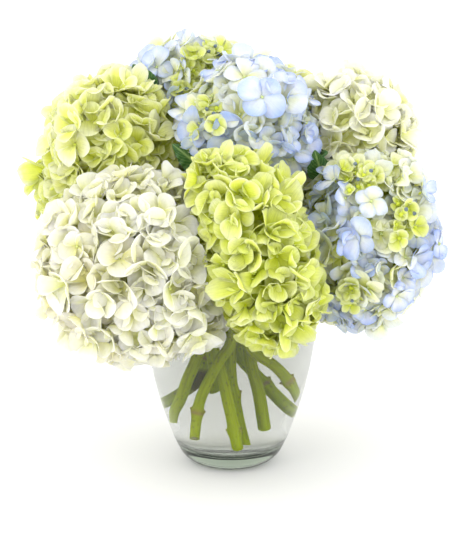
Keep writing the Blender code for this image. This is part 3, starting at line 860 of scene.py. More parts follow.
# The heads seen from the front, from left to right, then the three at the back
# A route runs from the stem's cut foot up to the height where it heads for its neck
BLOOMS = [
    Bloom("lime_left", Hue.LIME, (-104, 0, 306), (63, 62, 63), (-75, -3, 270),
          ((5.8, -28, 25), (-0.5, -24, 64), (-7, -16, 99), (-13, -10, 120), (-19, -7, 192),
           (-40, -5, 235)), (19,), 11, LIME_STYLE, (-0.5, -0.1, 0.85), (0.62, 0.32), stem_light=0.96),
    Bloom("lime_far_left", Hue.LIME, (-129, 56, 257), (54, 60, 51), (-101, 39, 239),
          ((-10, 3, 78), (-13, 3, 115), (-33, 8, 184), (-48, 14, 211)), (), 12, LIME_STYLE,
          (0, 0, 1), (0.4, 0.2)),
    Bloom("white_left", Hue.WHITE, (-80, -70, 208), (89, 84, 86), (-45, -37, 219),
          ((-46.5, -11, 44), (-43.5, -12, 57), (-37.6, -11, 69), (-31.5, -11, 89), (-23, -13, 121),
           (-28, -20, 180)), (), 13, WHITE_STYLE, (-0.95, 0, -0.3), (0.45, 0.45)),
    Bloom("lime_front", Hue.LIME, (20, -95, 231), (56, 65, 91), (13, -57, 220),
          ((-31, -34, 35), (-26.5, -34, 65), (-23.7, -34, 77), (-16, -33, 97), (-8, -31, 113),
           (0, -29, 126), (7, -36, 184)), (28,), 14, RUFFLED_STYLE, (0, 0, 1), (0.14, 0.2),
          stem_light=0.86, slant=0.26),
    Bloom("blue_rear_top", Hue.BLUE, (-36, 41, 335), (61, 62, 63), (-24, 33, 288),
          ((46, 11, 48), (39.3, 12, 55), (28.5, 14, 71), (15, 15, 92), (4.6, 10, 113), (-6, 8, 192),
           (-13, 18, 246)), (42,), 15, BLUE_STYLE, (-0.3, -0.3, -0.9), (0.5, 0.3),
          (YoungPatch((0.35, -0.55, 0.75), 26, 18, 4), YoungPatch((0.05, -0.95, 0.2), 16, 9, 2)),
          (Wash((-0.69, -0.68, 0.24), 32, 0.9), Wash((-0.38, -0.75, 0.54), 18, 0.7))),
    Bloom("blue_top", Hue.BLUE, (15, -24, 323), (68, 70, 66), (12, -19, 272),
          ((9.4, -6, 27), (3, -6, 66), (0, -6, 93), (0, -6, 119), (6, -11, 192), (9, -15, 242)),
          (49,), 16, BLUE_STYLE, (0.6, -0.4, 0.5), (0.46, 0.25),
          (YoungPatch((-0.55, -0.77, 0.31), 14, 8, 3),),
          (Wash((0.35, -0.43, 0.83), 22, 0.85), Wash((-0.42, -0.91, -0.06), 20, 0.85),
           Wash((-0.17, -0.56, 0.81), 18, 0.55), Wash((-0.74, -0.65, 0.16), 18, 0.8),
           Wash((0.67, -0.71, 0.24), 20, 0.9), Wash((0.45, -0.89, 0.05), 16, 0.75)),
          (ShownFloret((0.18, -0.81, 0.56), 1.22, 1.0),), stem_light=0.86),
    Bloom("cream_right", Hue.CREAM, (105, 12, 305), (63, 62, 63), (78, 9, 272),
          ((24, -4, 42), (19.5, -4, 78), (13, -4, 119), (22, 3, 192), (46, 5, 232)), (), 17,
          CREAM_STYLE, (-0.1, 0, 1), (0.55, 0.3), (YoungPatch((0.1, -0.9, -0.45), 14, 8, 4),),
          (Wash((-0.54, -0.72, 0.43), 24, 0.95), Wash((-0.45, -0.85, -0.2), 20, 0.95)),
          (ShownFloret((-0.58, -0.8, 0.1), 0.92, 1.0),), stem_light=0.90),
    Bloom("blue_right", Hue.BLUE, (118, -46, 230), (70, 70, 86), (72, -29, 221),
          ((53.7, -12, 69), (48, -14, 80.5), (33, -17, 103.5), (14, -16, 120), (8.5, -15, 137),
           (16, -15, 165), (32, -15, 188), (47, -20, 210)), (20,), 18, SMALL_STYLE, (0.9, 0, -0.3),
          (0.3, 0.2),
          (YoungPatch((-0.1, -0.65, 0.74), 14, 10, 3), YoungPatch((0.5, -0.8, 0.3), 13, 9, 2),
           YoungPatch((-0.24, -0.8, -0.5), 10, 6, 2)),
          (Wash((-0.57, -0.59, 0.57), 24, 0.75), Wash((-0.21, -0.83, 0.45), 15, 0.7),
           Wash((-0.13, -0.99, -0.1), 15, 0.95), Wash((-0.29, -0.55, -0.78), 22, 0.75),
           Wash((0.99, -0.2, -0.1), 34, 0.95), Wash((0.75, -0.45, -0.48), 24, 0.85)),
          (ShownFloret((0.05, -0.85, 0.5), 0.95, 0.5), ShownFloret((0.96, -0.27, -0.05), 0.85, 1.0)),
          stem_light=0.88),
    Bloom("white_rear", Hue.WHITE, (-58, 100, 236), (86, 76, 82), (-30, 57, 218),
          ((-9, 36, 121), (-19, 33, 186), (-24, 44, 208)), (), 19, WHITE_STYLE, (0, 1, 0), (0.4, 0.2)),
    Bloom("cream_rear", Hue.CREAM, (74, 92, 238), (86, 76, 82), (41, 57, 218),
          ((9, 34, 120), (20, 32, 186), (30, 43, 208)), (), 20, CREAM_STYLE, (0, 0, 1), (0.5, 0.3),
          (YoungPatch((0.3, 0.9, 0.2), 16, 10, 3),)),
    # This stem's dark band is partly old wood, partly painted shade where it lies behind the others.
    Bloom("lime_rear_top", Hue.LIME, (50, 68, 299), (60, 60, 60), (35, 50, 268),
          ((-54, 6, 56), (-41, 8, 65), (-32, 11, 73), (-23.4, 14, 82), (-17, 17, 95),
           (-11.7, 19, 115), (7, 22, 192), (19, 33, 236)), (66, 79), 21, LIME_STYLE, (0, 0, 1),
          (0.5, 0.3), old_wood_and_shade=(44.0, 26.0)),
]


@dataclass(frozen=True)
class VaseShape:
    """The vase's sizes.

    Attributes:
        outer: Its outer wall as (radius, height), from the foot up to the lip.
        wall: Thickness of its wall.
        bowl: Its hollow floor inside as (radius, height), from the axis to the wall.
        lip: Height of the rolled lip above the wall's end.
        water_level: Height of the water.
        mouth_top: How high the cone over the mouth reaches that heads keep clear of.
    """

    outer: tuple[tuple[float, float], ...] = (
        (30, 0), (38, 2.5), (46, 9), (52.5, 21), (60, 41), (67, 62), (73, 85), (78, 112), (80, 132),
        (77.5, 155), (69, 170), (58.5, 180), (54.5, 189), (57.5, 198))
    wall: float = 3.6
    bowl: tuple[tuple[float, float], ...] = (
        (0, 14.5), (14, 14.6), (28, 15.6), (39, 18.6), (46.5, 23.5), (51.2, 29.0), (53.0, 32.5))
    lip: float = 1.6
    water_level: float = 148.0
    mouth_top: float = 250.0

    def smooth(self, corners: tuple[tuple[float, float], ...], spacing: float) -> np.ndarray:
        """Points on a smooth line through (radius, height) corners."""
        return curve_through([(*corner, 0) for corner in corners], spacing)[0][:, :2]

    def outer_line(self) -> np.ndarray:
        """The smooth outer wall as (radius, height) points."""
        return self.smooth(self.outer, 3.0)

    def floor_line(self, drop: float) -> np.ndarray:
        """The smooth inner floor from the axis to the wall.

        Args:
            drop: How far it lies below the glass floor.

        Returns:
            (radius, height) points.
        """
        floor = self.smooth(self.bowl, 1.5)
        floor[0, 0] = 0.0
        return floor - (0, drop)

    def inner_line(self, inset: float) -> np.ndarray:
        """The inner wall from the floor's edge up.

        Args:
            inset: How far it lies inside the outer wall, square to it.

        Returns:
            (radius, height) points.
        """
        outer = self.outer_line()
        along = np.gradient(outer, axis=0)
        square = unit(np.stack([-along[:, 1], along[:, 0]], 1))
        inner = outer + square * inset
        return inner[inner[:, 1] > self.bowl[-1][1] + 2.0]

    def radius_at(self, height: np.ndarray) -> np.ndarray:
        """The outer radius at each height, and above the lip a cone that closes over the mouth."""
        walls = np.array([*self.outer, (0, self.mouth_top)])
        return np.interp(height, walls[:, 1], walls[:, 0])


VASE = VaseShape()


@dataclass(frozen=True)
class Pressing:
    """How points give way to a limit.

    Attributes:
        soft: The distance from it at which pressing starts.
        share: The share that is kept of what goes beyond that.
        past: How far past the limit a point may still lie.
    """

    soft: float
    share: float
    past: float


SEAT_PRESSING = Pressing(16.0, 0.35, 0.0)
PETAL_PRESSING = Pressing(0.0, 0.8, 9.0)
CORE_PRESSING = Pressing(16.0, 0.4, -3.0)


class HeadRoom:
    """The room that a head has: flat seams with its neighbours, other stems, and the vase.

    Attributes:
        NO_CONTACT: Two heads this far apart, as a negative overlap, don't limit each other.
        BESIDE: A slanted head's neighbour within this cosine of beside it meets it in a slanted seam.
        STEM_FREE: The height above which stems keep heads off.
        STEM_CLEARANCE: How far petals keep from another head's stem.
        STEM_REACH: How far past the head a stem still counts.
        STEM_NEAR: The part of the stem that counts, as a factor on the head's largest half size.
        VASE_CLEARANCE: How far petals keep from the vase.
        VASE_HEIGHT: A head that starts below this height keeps off the vase.
        TURN_REACH: How near a seam a floret starts to turn away from it.
        TURN_SHARE: How much of what points into the seam it loses.
        ROUNDS: How often the limits are gone through.
    """

    NO_CONTACT = -25.0
    BESIDE = 0.5
    STEM_FREE = 190.0
    STEM_CLEARANCE = 6.0
    STEM_REACH = 12.0
    STEM_NEAR = 1.5
    VASE_CLEARANCE = 3.0
    VASE_HEIGHT = 215.0
    TURN_REACH = 22.0
    TURN_SHARE = 0.7
    ROUNDS = 3

    def __init__(self, bloom: Bloom, stem_lines: dict[str, np.ndarray]) -> None:
        """Works out the limits, each as a plane's normal towards the head and its offset.

        Args:
            bloom: The head.
            stem_lines: Every stem's centre line.
        """
        self.bloom = bloom
        self.centre = np.array(bloom.centre, float)
        self.planes: list[tuple[np.ndarray, float]] = []
        for other in BLOOMS:
            if other is not bloom:
                self.add_seam(other)
        for name, line in stem_lines.items():
            if name != bloom.name:
                self.add_stem(line[line[:, 2] > self.STEM_FREE])
        self.outward = unit(self.centre * (1, 1, 0))
        self.low = self.centre[2] - bloom.radii[2] < self.VASE_HEIGHT

    def add_seam(self, other: Bloom) -> None:
        """Adds the seam with another head, halfway through where the two overlap.

        Args:
            other: The other head.
        """
        apart = self.centre - other.centre
        normal = unit(apart)
        slant = self.bloom.slant + other.slant
        slope = unit(np.array([slant, 0.0, -1.0]))
        if slant and abs(normal @ slope) < self.BESIDE:
            normal = unit(normal - (normal @ slope) * slope)
        reach = self.bloom.reach(normal)
        overlap = reach + other.reach(normal) - normal @ apart
        if overlap > self.NO_CONTACT:
            self.planes.append((normal, normal @ self.centre - reach + overlap / 2))

    def add_stem(self, line: np.ndarray) -> None:
        """Adds the limit that a stem beside the head sets, a plane that faces its nearest point.

        Args:
            line: The stem's centre line where heads can meet it.
        """
        away = self.centre - line
        distances = np.linalg.norm(away, axis=1)
        nearest = distances.argmin()
        normal = away[nearest] / distances[nearest]
        if distances[nearest] < self.bloom.reach(normal) + self.STEM_REACH:
            near = distances < max(self.bloom.radii) * self.STEM_NEAR
            self.planes.append((normal, (line[near] @ normal).max() + self.STEM_CLEARANCE))

    def past_vase(self, points: np.ndarray) -> np.ndarray:
        """How far each point must move outward to clear the vase.

        A point's distance sideways from the head's own outward line and the vase's radius at its
        height give, by Pythagoras, how far out the wall lies on its line.

        Args:
            points: The points, on the last axis.

        Returns:
            The distances, negative where a point is clear.
        """
        wall = VASE.radius_at(points[..., 2]) + self.VASE_CLEARANCE
        sideways = points[..., 0] * self.outward[1] - points[..., 1] * self.outward[0]
        return np.sqrt(np.maximum(wall ** 2 - sideways ** 2, 0)) - points @ self.outward

    def press(self, points: np.ndarray, pressing: Pressing) -> np.ndarray:
        """Moves points that come near or past a limit back, as petals press on a neighbour.

        Pressing from before a limit happens in the first round, and later rounds only mend.

        Args:
            points: The points, on the last axis.
            pressing: How they give way.

        Returns:
            The moved points.
        """
        points = np.array(points, float)
        soft = pressing.soft
        for _ in range(self.ROUNDS):
            for normal, offset in self.planes:
                inside = points @ normal - offset
                kept = np.where(inside < soft, soft - pressing.share * (soft - inside), inside)
                kept = np.maximum(kept, -pressing.past)
                points += (kept - inside)[..., None] * normal
            if self.low:
                depth = self.past_vase(points)
                points += np.maximum(depth, 0)[..., None] * self.outward
            soft = min(soft, 0.0)
        return points

    def facing(self, points: np.ndarray, outward: np.ndarray) -> np.ndarray:
        """Turns florets that stand by a seam away from it.

        Args:
            points: The florets' seats.
            outward: The directions in which they would face.

        Returns:
            The directions in which they face: what points into a near limit is taken out.
        """
        outward = outward.copy()
        for normal, offset in self.planes:
            near = np.clip(1 - (points @ normal - offset) / self.TURN_REACH, 0, 1)
            into = np.minimum(outward @ normal, 0)
            outward -= (near * into * self.TURN_SHARE)[:, None] * normal
        return unit(outward)


@dataclass
class FlowerHead:
    """One hydrangea head: open florets, young patches, stalks and core in one mesh.

    Attributes:
        bloom: The head's facts.
        room: The room that it has.
        fine: Rows and columns of an outer petal's grid.
        coarse: Rows and columns of a young petal's grid.
        deep: Rows and columns of the grid of a petal in the inner layer.
        thickness: A petal's thickness.
        proud: The share that is kept of a petal's height above the head's surface.
        scatter: How far florets leave their even places, as a share of the radius of the disc
            that each has to itself.
        squeeze: A floret whose seat would have to move further than this has no room.
        bare: Degrees round the stem where no floret grows.
        leaning: How far chance leans a floret, as a share of the slope of its style's lean.
        wash_differ: How far florets of a wash differ in their place in the palette.
        petal_differ: How far petals of one floret differ in their place in the palette.
        light_differ: How far petals differ in light.
        claw_reach: How far up the petal its claw's colour reaches.
        depth_start: The height in the head, as a share, below which petals take on painted shade in
            the depth's colour, standing for the shade and bounced light deep between them.
        depth_reach: The share of the head's height over which that painted shade comes in.
        depth_mix: The share of the depth's colour in the painted shade; the rest is the claw's.
        rim_depth: How much of the painted shade the petal's rim takes on.
        button: Radius of the knob in a floret's middle, and its height above the seat.
        young_button: The same for a young floret.
        young_button_light: A factor on its colour.
        show_button_height: The height of a placed floret's knob.
        bud: A bud's radius, and how far it stands above and beside its floret's seat.
        bud_tint: Its colour.
        stalk: Radius of a floret's stalk.
        young_stalk: Radius of a young floret's stalk.
        stalk_start: Where stalks start, as a share of the way from the head's middle to the seat.
        inner_share: How many florets the inner layer has, as a share of the outer one.
        inner_sink: How deep the inner layer sits.
        inner_lean: How far its florets lean, in degrees.
        inner_stage: A factor on their place in the palette.
        show_height: Where a placed floret sits, as a share of the way to the head's surface.
        show_turn: How far it is turned to the front.
        core_share: The core's size as a share of the head's.
        core_grid: Its rings and the points in each.
        neck_radii: The neck's radius at its start and at its end.
        neck_end: How far before the head's middle it ends.
        neck_tint: Its colour.
    """

    bloom: Bloom
    room: HeadRoom
    fine: tuple[int, int] = (7, 5)
    coarse: tuple[int, int] = (5, 5)
    deep: tuple[int, int] = (4, 4)
    thickness: float = 0.36
    proud: float = 0.75
    scatter: float = 0.22
    squeeze: float = 17.0
    bare: float = 30.0
    leaning: float = 0.6
    wash_differ: float = 0.08
    petal_differ: float = 0.06
    light_differ: float = 0.05
    claw_reach: float = 0.65
    depth_start: float = 0.95
    depth_reach: float = 0.22
    depth_mix: float = 0.35
    rim_depth: float = 0.8
    button: tuple[float, float] = (1.6, 0.8)
    young_button: tuple[float, float] = (2.4, 1.5)
    young_button_light: float = 0.9
    show_button_height: float = 1.2
    bud: tuple[float, float, float] = (2.0, 8.0, 5.0)
    bud_tint: str = "6F7F86"
    stalk: float = 0.9
    young_stalk: float = 0.7
    stalk_start: float = 0.55
    inner_share: float = 0.5
    inner_sink: tuple[float, float] = (15.0, 2.0)
    inner_lean: float = 30.0
    inner_stage: float = 0.6
    show_height: float = 0.99
    show_turn: tuple[float, float, float] = (0.0, -0.35, 0.0)
    core_share: float = 0.72
    core_grid: tuple[int, int] = (12, 22)
    neck_radii: tuple[float, float] = (4.0, 5.0)
    neck_end: float = 4.0
    neck_tint: str = "8FA84A"
    centre: np.ndarray = field(init=False)
    radii: np.ndarray = field(init=False)
    rng: np.random.Generator = field(init=False)
    palette: Palette = field(init=False)

    def __post_init__(self) -> None:
        """Sets the middle, the half sizes, the chance numbers and the colours."""
        self.centre = np.array(self.bloom.centre, float)
        self.radii = np.array(self.bloom.radii, float)
        self.rng = np.random.default_rng(self.bloom.seed)
        self.palette = PALETTES[self.bloom.hue]

    def vary(self, pair: tuple[float, float], count: int) -> np.ndarray:
        """Numbers about a mean, none further than two spreads from it, from (mean, spread)."""
        return pair[0] + pair[1] * np.clip(self.rng.normal(size=count), -2, 2)

    def directions(self, share: float) -> np.ndarray:
        """Directions spread over the head by the golden angle about its stem, slightly disturbed.

        The area of a ball with the head's mean radius over that of a hexagon with the florets'
        spacing gives how many.

        Args:
            share: A factor on their number.

        Returns:
            Unit vectors.
        """
        cell = math.sin(math.pi / 3) * self.bloom.style.spacing ** 2
        count = round(share * 4 * math.pi * self.radii.mean() ** 2 / cell)
        index = np.arange(count)
        height = 1 - 2 * (index + 0.5) / count
        turn = index * GOLDEN_ANGLE + self.bloom.seed
        flat = np.sqrt(1 - height ** 2)
        first, second = cross_axes(self.bloom.axis)
        local = np.stack([flat * np.cos(turn), flat * np.sin(turn), height], 1)
        spread = local @ np.stack([first, second, self.bloom.axis])
        return unit(spread + self.rng.normal(0, self.scatter * 2 / math.sqrt(count), (count, 3)))

    def seats(self, directions: np.ndarray,
              sink: np.ndarray) -> tuple[np.ndarray, np.ndarray, np.ndarray]:
        """Places florets on the head.

        Args:
            directions: Their directions from the head's middle.
            sink: How deep below its surface each sits.

        Returns:
            Their seats, the directions in which they face, and which of them have room.
        """
        surface = self.centre + self.bloom.slanted(self.radii * directions)
        normal = directions / self.radii
        normal = unit(normal + normal[:, :1] * np.array([0.0, 0.0, self.bloom.slant]))
        free = surface - normal * sink[:, None]
        pressed = self.room.press(free, SEAT_PRESSING)
        fits = np.linalg.norm(pressed - free, axis=1) < self.squeeze
        fits &= directions @ self.bloom.axis > -math.cos(math.radians(self.bare))
        return pressed, self.room.facing(pressed, normal), fits

    def frames(self, outward: np.ndarray, lean: float) -> np.ndarray:
        """Axes of each floret: two across it and one outward, leaned and turned by chance.

        Args:
            outward: The directions in which the florets face.
            lean: How far they lean, in degrees.

        Returns:
            Florets by three axes by three.
        """
        count = len(outward)
        outward = unit(outward + self.rng.normal(0, math.tan(math.radians(lean)) * self.leaning,
                                                 (count, 3)))
        first, second = cross_axes(outward)
        twist = self.rng.uniform(0, math.pi / 2, count)[:, None]
        turned = np.cos(twist) * first + np.sin(twist) * second
        return np.stack([turned, np.cross(outward, turned), outward], 1)

    def settle(self, directions: np.ndarray, sink: tuple[float, float],
               lean: float) -> tuple[np.ndarray, np.ndarray, np.ndarray]:
        """Seats florets on the head and leaves out those that have no room.

        Args:
            directions: Their directions from the head's middle.
            sink: How deep below its surface they sit, as (mean, spread).
            lean: How far they lean, in degrees.

        Returns:
            The seats, the axes and the directions of those that have room.
        """
        seats, outward, fits = self.seats(directions, self.vary(sink, len(directions)))
        return seats[fits], self.frames(outward[fits], lean), directions[fits]

    def petal_surfaces(self, count: int, style: PetalStyle, size: float,
                       grid: tuple[int, int]) -> np.ndarray:
        """Petals in a floret's own axes, with their claws at its middle.

        A square grid, u from side to side and w from claw to tip, is rounded into a disc: a point lies
        u times the root of one less half of w squared across, and w times the root of one less half of
        u squared along. The claw's half is drawn in by a quarter sine, and the tip is drawn out a
        little. The height is a slope, a bend with the square of the distance from the claw, a cup with
        the square of the distance across, a crease along the middle, a pinwheel tilt, and waves that
        run round the rim. The whole petal bows sideways with the square of the distance from the claw.

        Args:
            count: How many florets.
            style: Their shape.
            size: A factor on their size.
            grid: Rows and columns of points.

        Returns:
            Florets by four petals by rows by columns by three.
        """
        petals = count * 4

        def each(mean: np.ndarray | float, spread: float) -> np.ndarray:
            """A number for each petal, about a mean."""
            return (mean + spread * self.rng.normal(size=petals))[:, None, None]

        w = np.linspace(-1, 1, grid[0])[None, :, None]
        u = np.linspace(-1, 1, grid[1])[None, None, :]
        along = w * np.sqrt(1 - u ** 2 / 2)
        ahead = (1 + along) / 2
        across = u * np.sqrt(1 - w ** 2 / 2)
        shared = [np.repeat(self.vary(pair, count), 4)
                  for pair in (style.length, style.rise, style.bend)]
        length = (shared[0] * size)[:, None, None] * each(1.0, style.differ[0])
        rise, bend = each(shared[1], style.differ[1]), each(shared[2], style.differ[2])
        cup = self.vary(style.cup, petals)[:, None, None]
        half = length * self.vary(style.width, petals)[:, None, None]
        tilt = each(*style.tilt)
        phase = self.rng.uniform(0, 2 * math.pi, (petals, 1, 1))
        bow, point, crease = [each(*pair) for pair in (style.bow, style.point, style.crease)]
        turn = each(np.tile(np.arange(4), count) * math.pi / 2, style.differ[3])
        opening = np.sin(np.minimum(ahead / style.claw_end, 1) * math.pi / 2)
        taper = style.claw_width + (1 - style.claw_width) * opening
        x = length * (0.02 + 0.98 * ahead + point * (1 - np.abs(across)) * ahead ** 6)
        y = half * across * taper + length * bow * ahead ** 2
        around = np.arctan2(across, along + 1e-9)
        wave = np.sin(around * 3 + phase) + 0.5 * np.sin(around * 5 - phase * 2)
        wave = wave * (along ** 2 + across ** 2) ** 1.5 * ahead
        z = length * (rise * ahead + bend * ahead ** 2 + style.ruffle * wave) + tilt * y
        z = z + cup * half * across ** 2 + crease * half * np.abs(across) * taper
        sine, cosine = np.sin(turn), np.cos(turn)
        surface = np.stack([x * cosine - y * sine, x * sine + y * cosine, z], -1)
        return surface.reshape(count, 4, *grid, 3)

    def petal_tints(self, palette: Palette, stage: np.ndarray, source: np.ndarray,
                    grid: tuple[int, int]) -> tuple[np.ndarray, np.ndarray]:
        """Colours of petal points: the blade's, which turns to the claw's at the base, and the rim's.

        Args:
            palette: The tints to use.
            stage: Each petal's place in it.
            source: For each point of the shell the number of its grid point.
            grid: Rows and columns of points.

        Returns:
            The two colours of every point, as petals by points by three.
        """
        ahead = np.linspace(0, 1, grid[0])[:, None]
        claw = np.clip(1 - ahead / self.claw_reach, 0, 1) * np.ones(grid[1])
        claw = claw.reshape(-1)[source][None, :, None]
        blade_tint, claw_tint, rim_tint = [palette.mix(part, stage)[:, None]
                                           for part in ("blade", "claw", "rim")]
        light = 1 + self.light_differ * self.rng.normal(size=(len(stage), 1, 1))
        blade = blade_tint * (1 - claw) + claw_tint * claw
        return blade * light, rim_tint * np.ones_like(claw) * light

    def painted_shade_share(self, points: np.ndarray) -> np.ndarray:
        """How much painted shade points take on: 0 near the head's surface, 1 near its core."""
        return np.clip((self.depth_start - self.bloom.height_share(points)) / self.depth_reach, 0, 1)

    def tamed(self, points: np.ndarray) -> np.ndarray:
        """Draws in what stands proud of the head, to a share of its height above the surface.

        Args:
            points: The points, on the last axis.

        Returns:
            The points, those inside the head unchanged.
        """
        reach = self.bloom.height_share(points)
        share = np.where(reach > 1, (1 + self.proud * (reach - 1)) / reach, 1.0)
        return self.centre + (points - self.centre) * share

    def add_florets(self, batch: Batch, seats: np.ndarray, frames: np.ndarray, style: PetalStyle,
                    palette: Palette, stage: np.ndarray, grid: tuple[int, int],
                    size: float = 1.0) -> None:
        """Adds four-petalled florets.

        Args:
            batch: The mesh to add to.
            seats: Their middles.
            frames: Their axes.
            style: Their shape.
            palette: Their tints.
            stage: Each floret's place in the palette.
            grid: Rows and columns of a petal's grid.
            size: A factor on their size.
        """
        count = len(seats)
        local = self.petal_surfaces(count, style, size, grid)
        world = np.einsum("fprci,fij->fprcj", local, frames) + seats[:, None, None, None]
        world = self.room.press(self.tamed(world), PETAL_PRESSING)
        points, faces, source = thin_shell(world.reshape(count * 4, *grid, 3), self.thickness)
        chance = self.rng.normal(0, self.petal_differ, count * 4)
        stage = np.clip(np.repeat(stage, 4) + chance, 0, 1)
        tints, rims = self.petal_tints(palette, stage, source, grid)
        # Painted shade: deep points turn towards a mix of the depth's and the claw's colour, standing
        # for the shade and the light bounced between petals; the rims take most of it too.
        depth = self.painted_shade_share(points)
        claw = palette.mix("claw", stage)[:, None]
        deep = tone(palette.depth) * self.depth_mix + claw * (1 - self.depth_mix)
        tints = tints * (1 - depth) + deep * depth
        rims = rims * (1 - depth * self.rim_depth) + deep * depth * self.rim_depth
        v, u = np.meshgrid(np.linspace(0, 1, grid[0]), np.linspace(-1, 1, grid[1]), indexing="ij")
        places = np.stack([u.reshape(-1)[source], v.reshape(-1)[source]], 1)
        batch.add(points, tints, faces, places, rims)

    def add_knobs(self, batch: Batch, middles: np.ndarray, frames: np.ndarray, radius: float,
                  tint: np.ndarray) -> None:
        """Adds small six-sided domes.

        Args:
            batch: The mesh to add to.
            middles: Their middles.
            frames: Their axes.
            radius: Their radius.
            tint: Their colour.
        """
        dome, faces = turned_surface([(0, -0.7), (1.0, -0.2), (0.75, 0.6), (0, 0.95)], 6)
        world = np.einsum("vi,fij->fvj", dome * radius, frames) + middles[:, None]
        batch.add(world, tint, faces)

    def add_stalks(self, batch: Batch, seats: np.ndarray, radius: float) -> None:
        """Adds a four-sided stalk from inside the head to each seat.

        Args:
            batch: The mesh to add to.
            seats: The florets' seats.
            radius: The stalks' radius.
        """
        start = self.centre + (seats - self.centre) * self.stalk_start
        ring = circle(*cross_axes(unit(seats - start)), 4) * radius
        points = np.concatenate([start[:, None] + ring, seats[:, None] + ring], 1)
        # Half the depth's colour: partly the stalks' green, partly painted shade.
        tint = (tone(self.palette.depth) + tone(self.palette.claw[0])) / 2
        batch.add(points, tint, tube_faces(2, 4))

    def add_core(self, batch: Batch) -> None:
        """Adds the middle of the head: a ball in its proportions, pressed into its room.

        Its depth colour is partly the green of the stalks inside and partly painted shade.

        Args:
            batch: The mesh to add to.
        """
        rings, steps = self.core_grid
        arc = np.linspace(0, math.pi, rings + 2)
        ball, faces = turned_surface(np.stack([np.sin(arc), -np.cos(arc)], 1), steps)
        ball = self.bloom.slanted(ball * self.radii * self.core_share) + self.centre
        batch.add(self.room.press(ball, CORE_PRESSING)[None], tone(self.palette.depth), faces)

    def add_neck(self, batch: Batch) -> None:
        """Adds the end of the stem inside the head, which widens from the neck to near its middle.

        Args:
            batch: The mesh to add to.
        """
        ring = circle(*cross_axes(self.bloom.axis), 12)
        inside = self.centre - self.bloom.axis * self.neck_end
        points = np.vstack([self.bloom.neck + ring * self.neck_radii[0],
                            inside + ring * self.neck_radii[1]])
        batch.add(points[None], tone(self.neck_tint), tube_faces(2, 12))

    def stages(self, directions: np.ndarray) -> np.ndarray:
        """Each floret's place in the palette: a mean, a part that follows a direction, and chance.

        Args:
            directions: The florets' directions from the head's middle.

        Returns:
            Their places, from 0 to 1.
        """
        mean, slope = self.bloom.stage
        towards = directions @ unit(self.bloom.stage_towards)
        stage = mean + slope * towards + self.rng.normal(0, self.palette.spread, len(directions))
        for wash in self.bloom.washes:
            near = directions @ unit(wash.towards) > math.cos(math.radians(wash.spread))
            chance = self.rng.normal(0, self.wash_differ, len(directions))
            stage = np.where(near, wash.stage + chance, stage)
        return np.clip(stage, 0, 1)

    def add_outer(self, batch: Batch) -> int:
        """Adds the outer layer: open florets wherever no young patch and no placed floret is.

        Args:
            batch: The mesh to add to.

        Returns:
            How many florets it has.
        """
        directions = self.directions(1.0)
        free = np.ones(len(directions), bool)
        taken = [(patch.towards, math.radians(patch.spread)) for patch in self.bloom.patches]
        taken += [(shown.towards, SHOW_STYLE.length[0] * shown.size / self.radii.mean())
                  for shown in self.bloom.shows]
        for towards, angle in taken:
            free &= directions @ unit(towards) < math.cos(angle)
        style = self.bloom.style
        seats, frames, directions = self.settle(directions[free], style.sink, style.lean)
        self.add_florets(batch, seats, frames, style, self.palette, self.stages(directions), self.fine)
        radius, height = self.button
        self.add_knobs(batch, seats + frames[:, 2] * height, frames, radius, tone(self.palette.button))
        self.add_stalks(batch, seats, self.stalk)
        return len(seats)

    def add_patch(self, batch: Batch, patch: YoungPatch) -> None:
        """Adds a young patch: small cupped florets by the golden angle in a cap, and buds on some.

        A bud is two domes, the second like the first but turned half round the X axis.

        Args:
            batch: The mesh to add to.
            patch: The patch.
        """
        middle = unit(patch.towards)
        first, second = cross_axes(middle)
        index = np.arange(patch.florets)
        lean = math.radians(patch.spread) * np.sqrt((index + 0.5) / patch.florets)
        turn = (index * GOLDEN_ANGLE)[:, None]
        aside = np.cos(turn) * first + np.sin(turn) * second
        directions = unit(middle + np.tan(lean)[:, None] * aside)
        seats, frames, _ = self.settle(directions, YOUNG_STYLE.sink, YOUNG_STYLE.lean)
        if not len(seats):
            return
        self.add_florets(batch, seats, frames, YOUNG_STYLE, self.palette.unopened(),
                         self.rng.uniform(0, 1, len(seats)), self.coarse)
        radius, height = self.young_button
        tint = tone(self.palette.young) * self.young_button_light
        self.add_knobs(batch, seats + frames[:, 2] * height, frames, radius, tint)
        self.add_stalks(batch, seats, self.young_stalk)
        if patch.buds:
            radius, height, beside = self.bud
            frames = frames[:patch.buds]
            buds = seats[:patch.buds] + frames[:, 2] * height + frames[:, 0] * beside
            self.add_knobs(batch, buds, frames, radius, tone(self.bud_tint))
            self.add_knobs(batch, buds, frames * (1, -1, -1), radius, tone(self.bud_tint))

    def add_shows(self, batch: Batch) -> None:
        """Adds the placed florets: wide open, facing outward and on top of the others.

        Args:
            batch: The mesh to add to.
        """
        for shown in self.bloom.shows:
            middle = unit(shown.towards)
            seat = (self.centre + self.bloom.slanted(self.radii * middle) * self.show_height)[None]
            outward = unit(unit(middle / self.radii) + np.array(self.show_turn))[None]
            frames = self.frames(outward, SHOW_STYLE.lean)
            self.add_florets(batch, seat, frames, SHOW_STYLE, self.palette,
                             np.array([shown.stage]), self.fine, shown.size)
            self.add_knobs(batch, seat + frames[:, 2] * self.show_button_height, frames,
                           self.button[0], tone(self.palette.button))

    def add_inner(self, batch: Batch) -> None:
        """Adds the inner layer: plain florets deep between the outer ones, tinted mostly with painted
        shade in the depth's colours.

        Args:
            batch: The mesh to add to.
        """
        seats, frames, directions = self.settle(self.directions(self.inner_share), self.inner_sink,
                                                self.inner_lean)
        self.add_florets(batch, seats, frames, self.bloom.style, self.palette,
                         self.stages(directions) * self.inner_stage, self.deep)

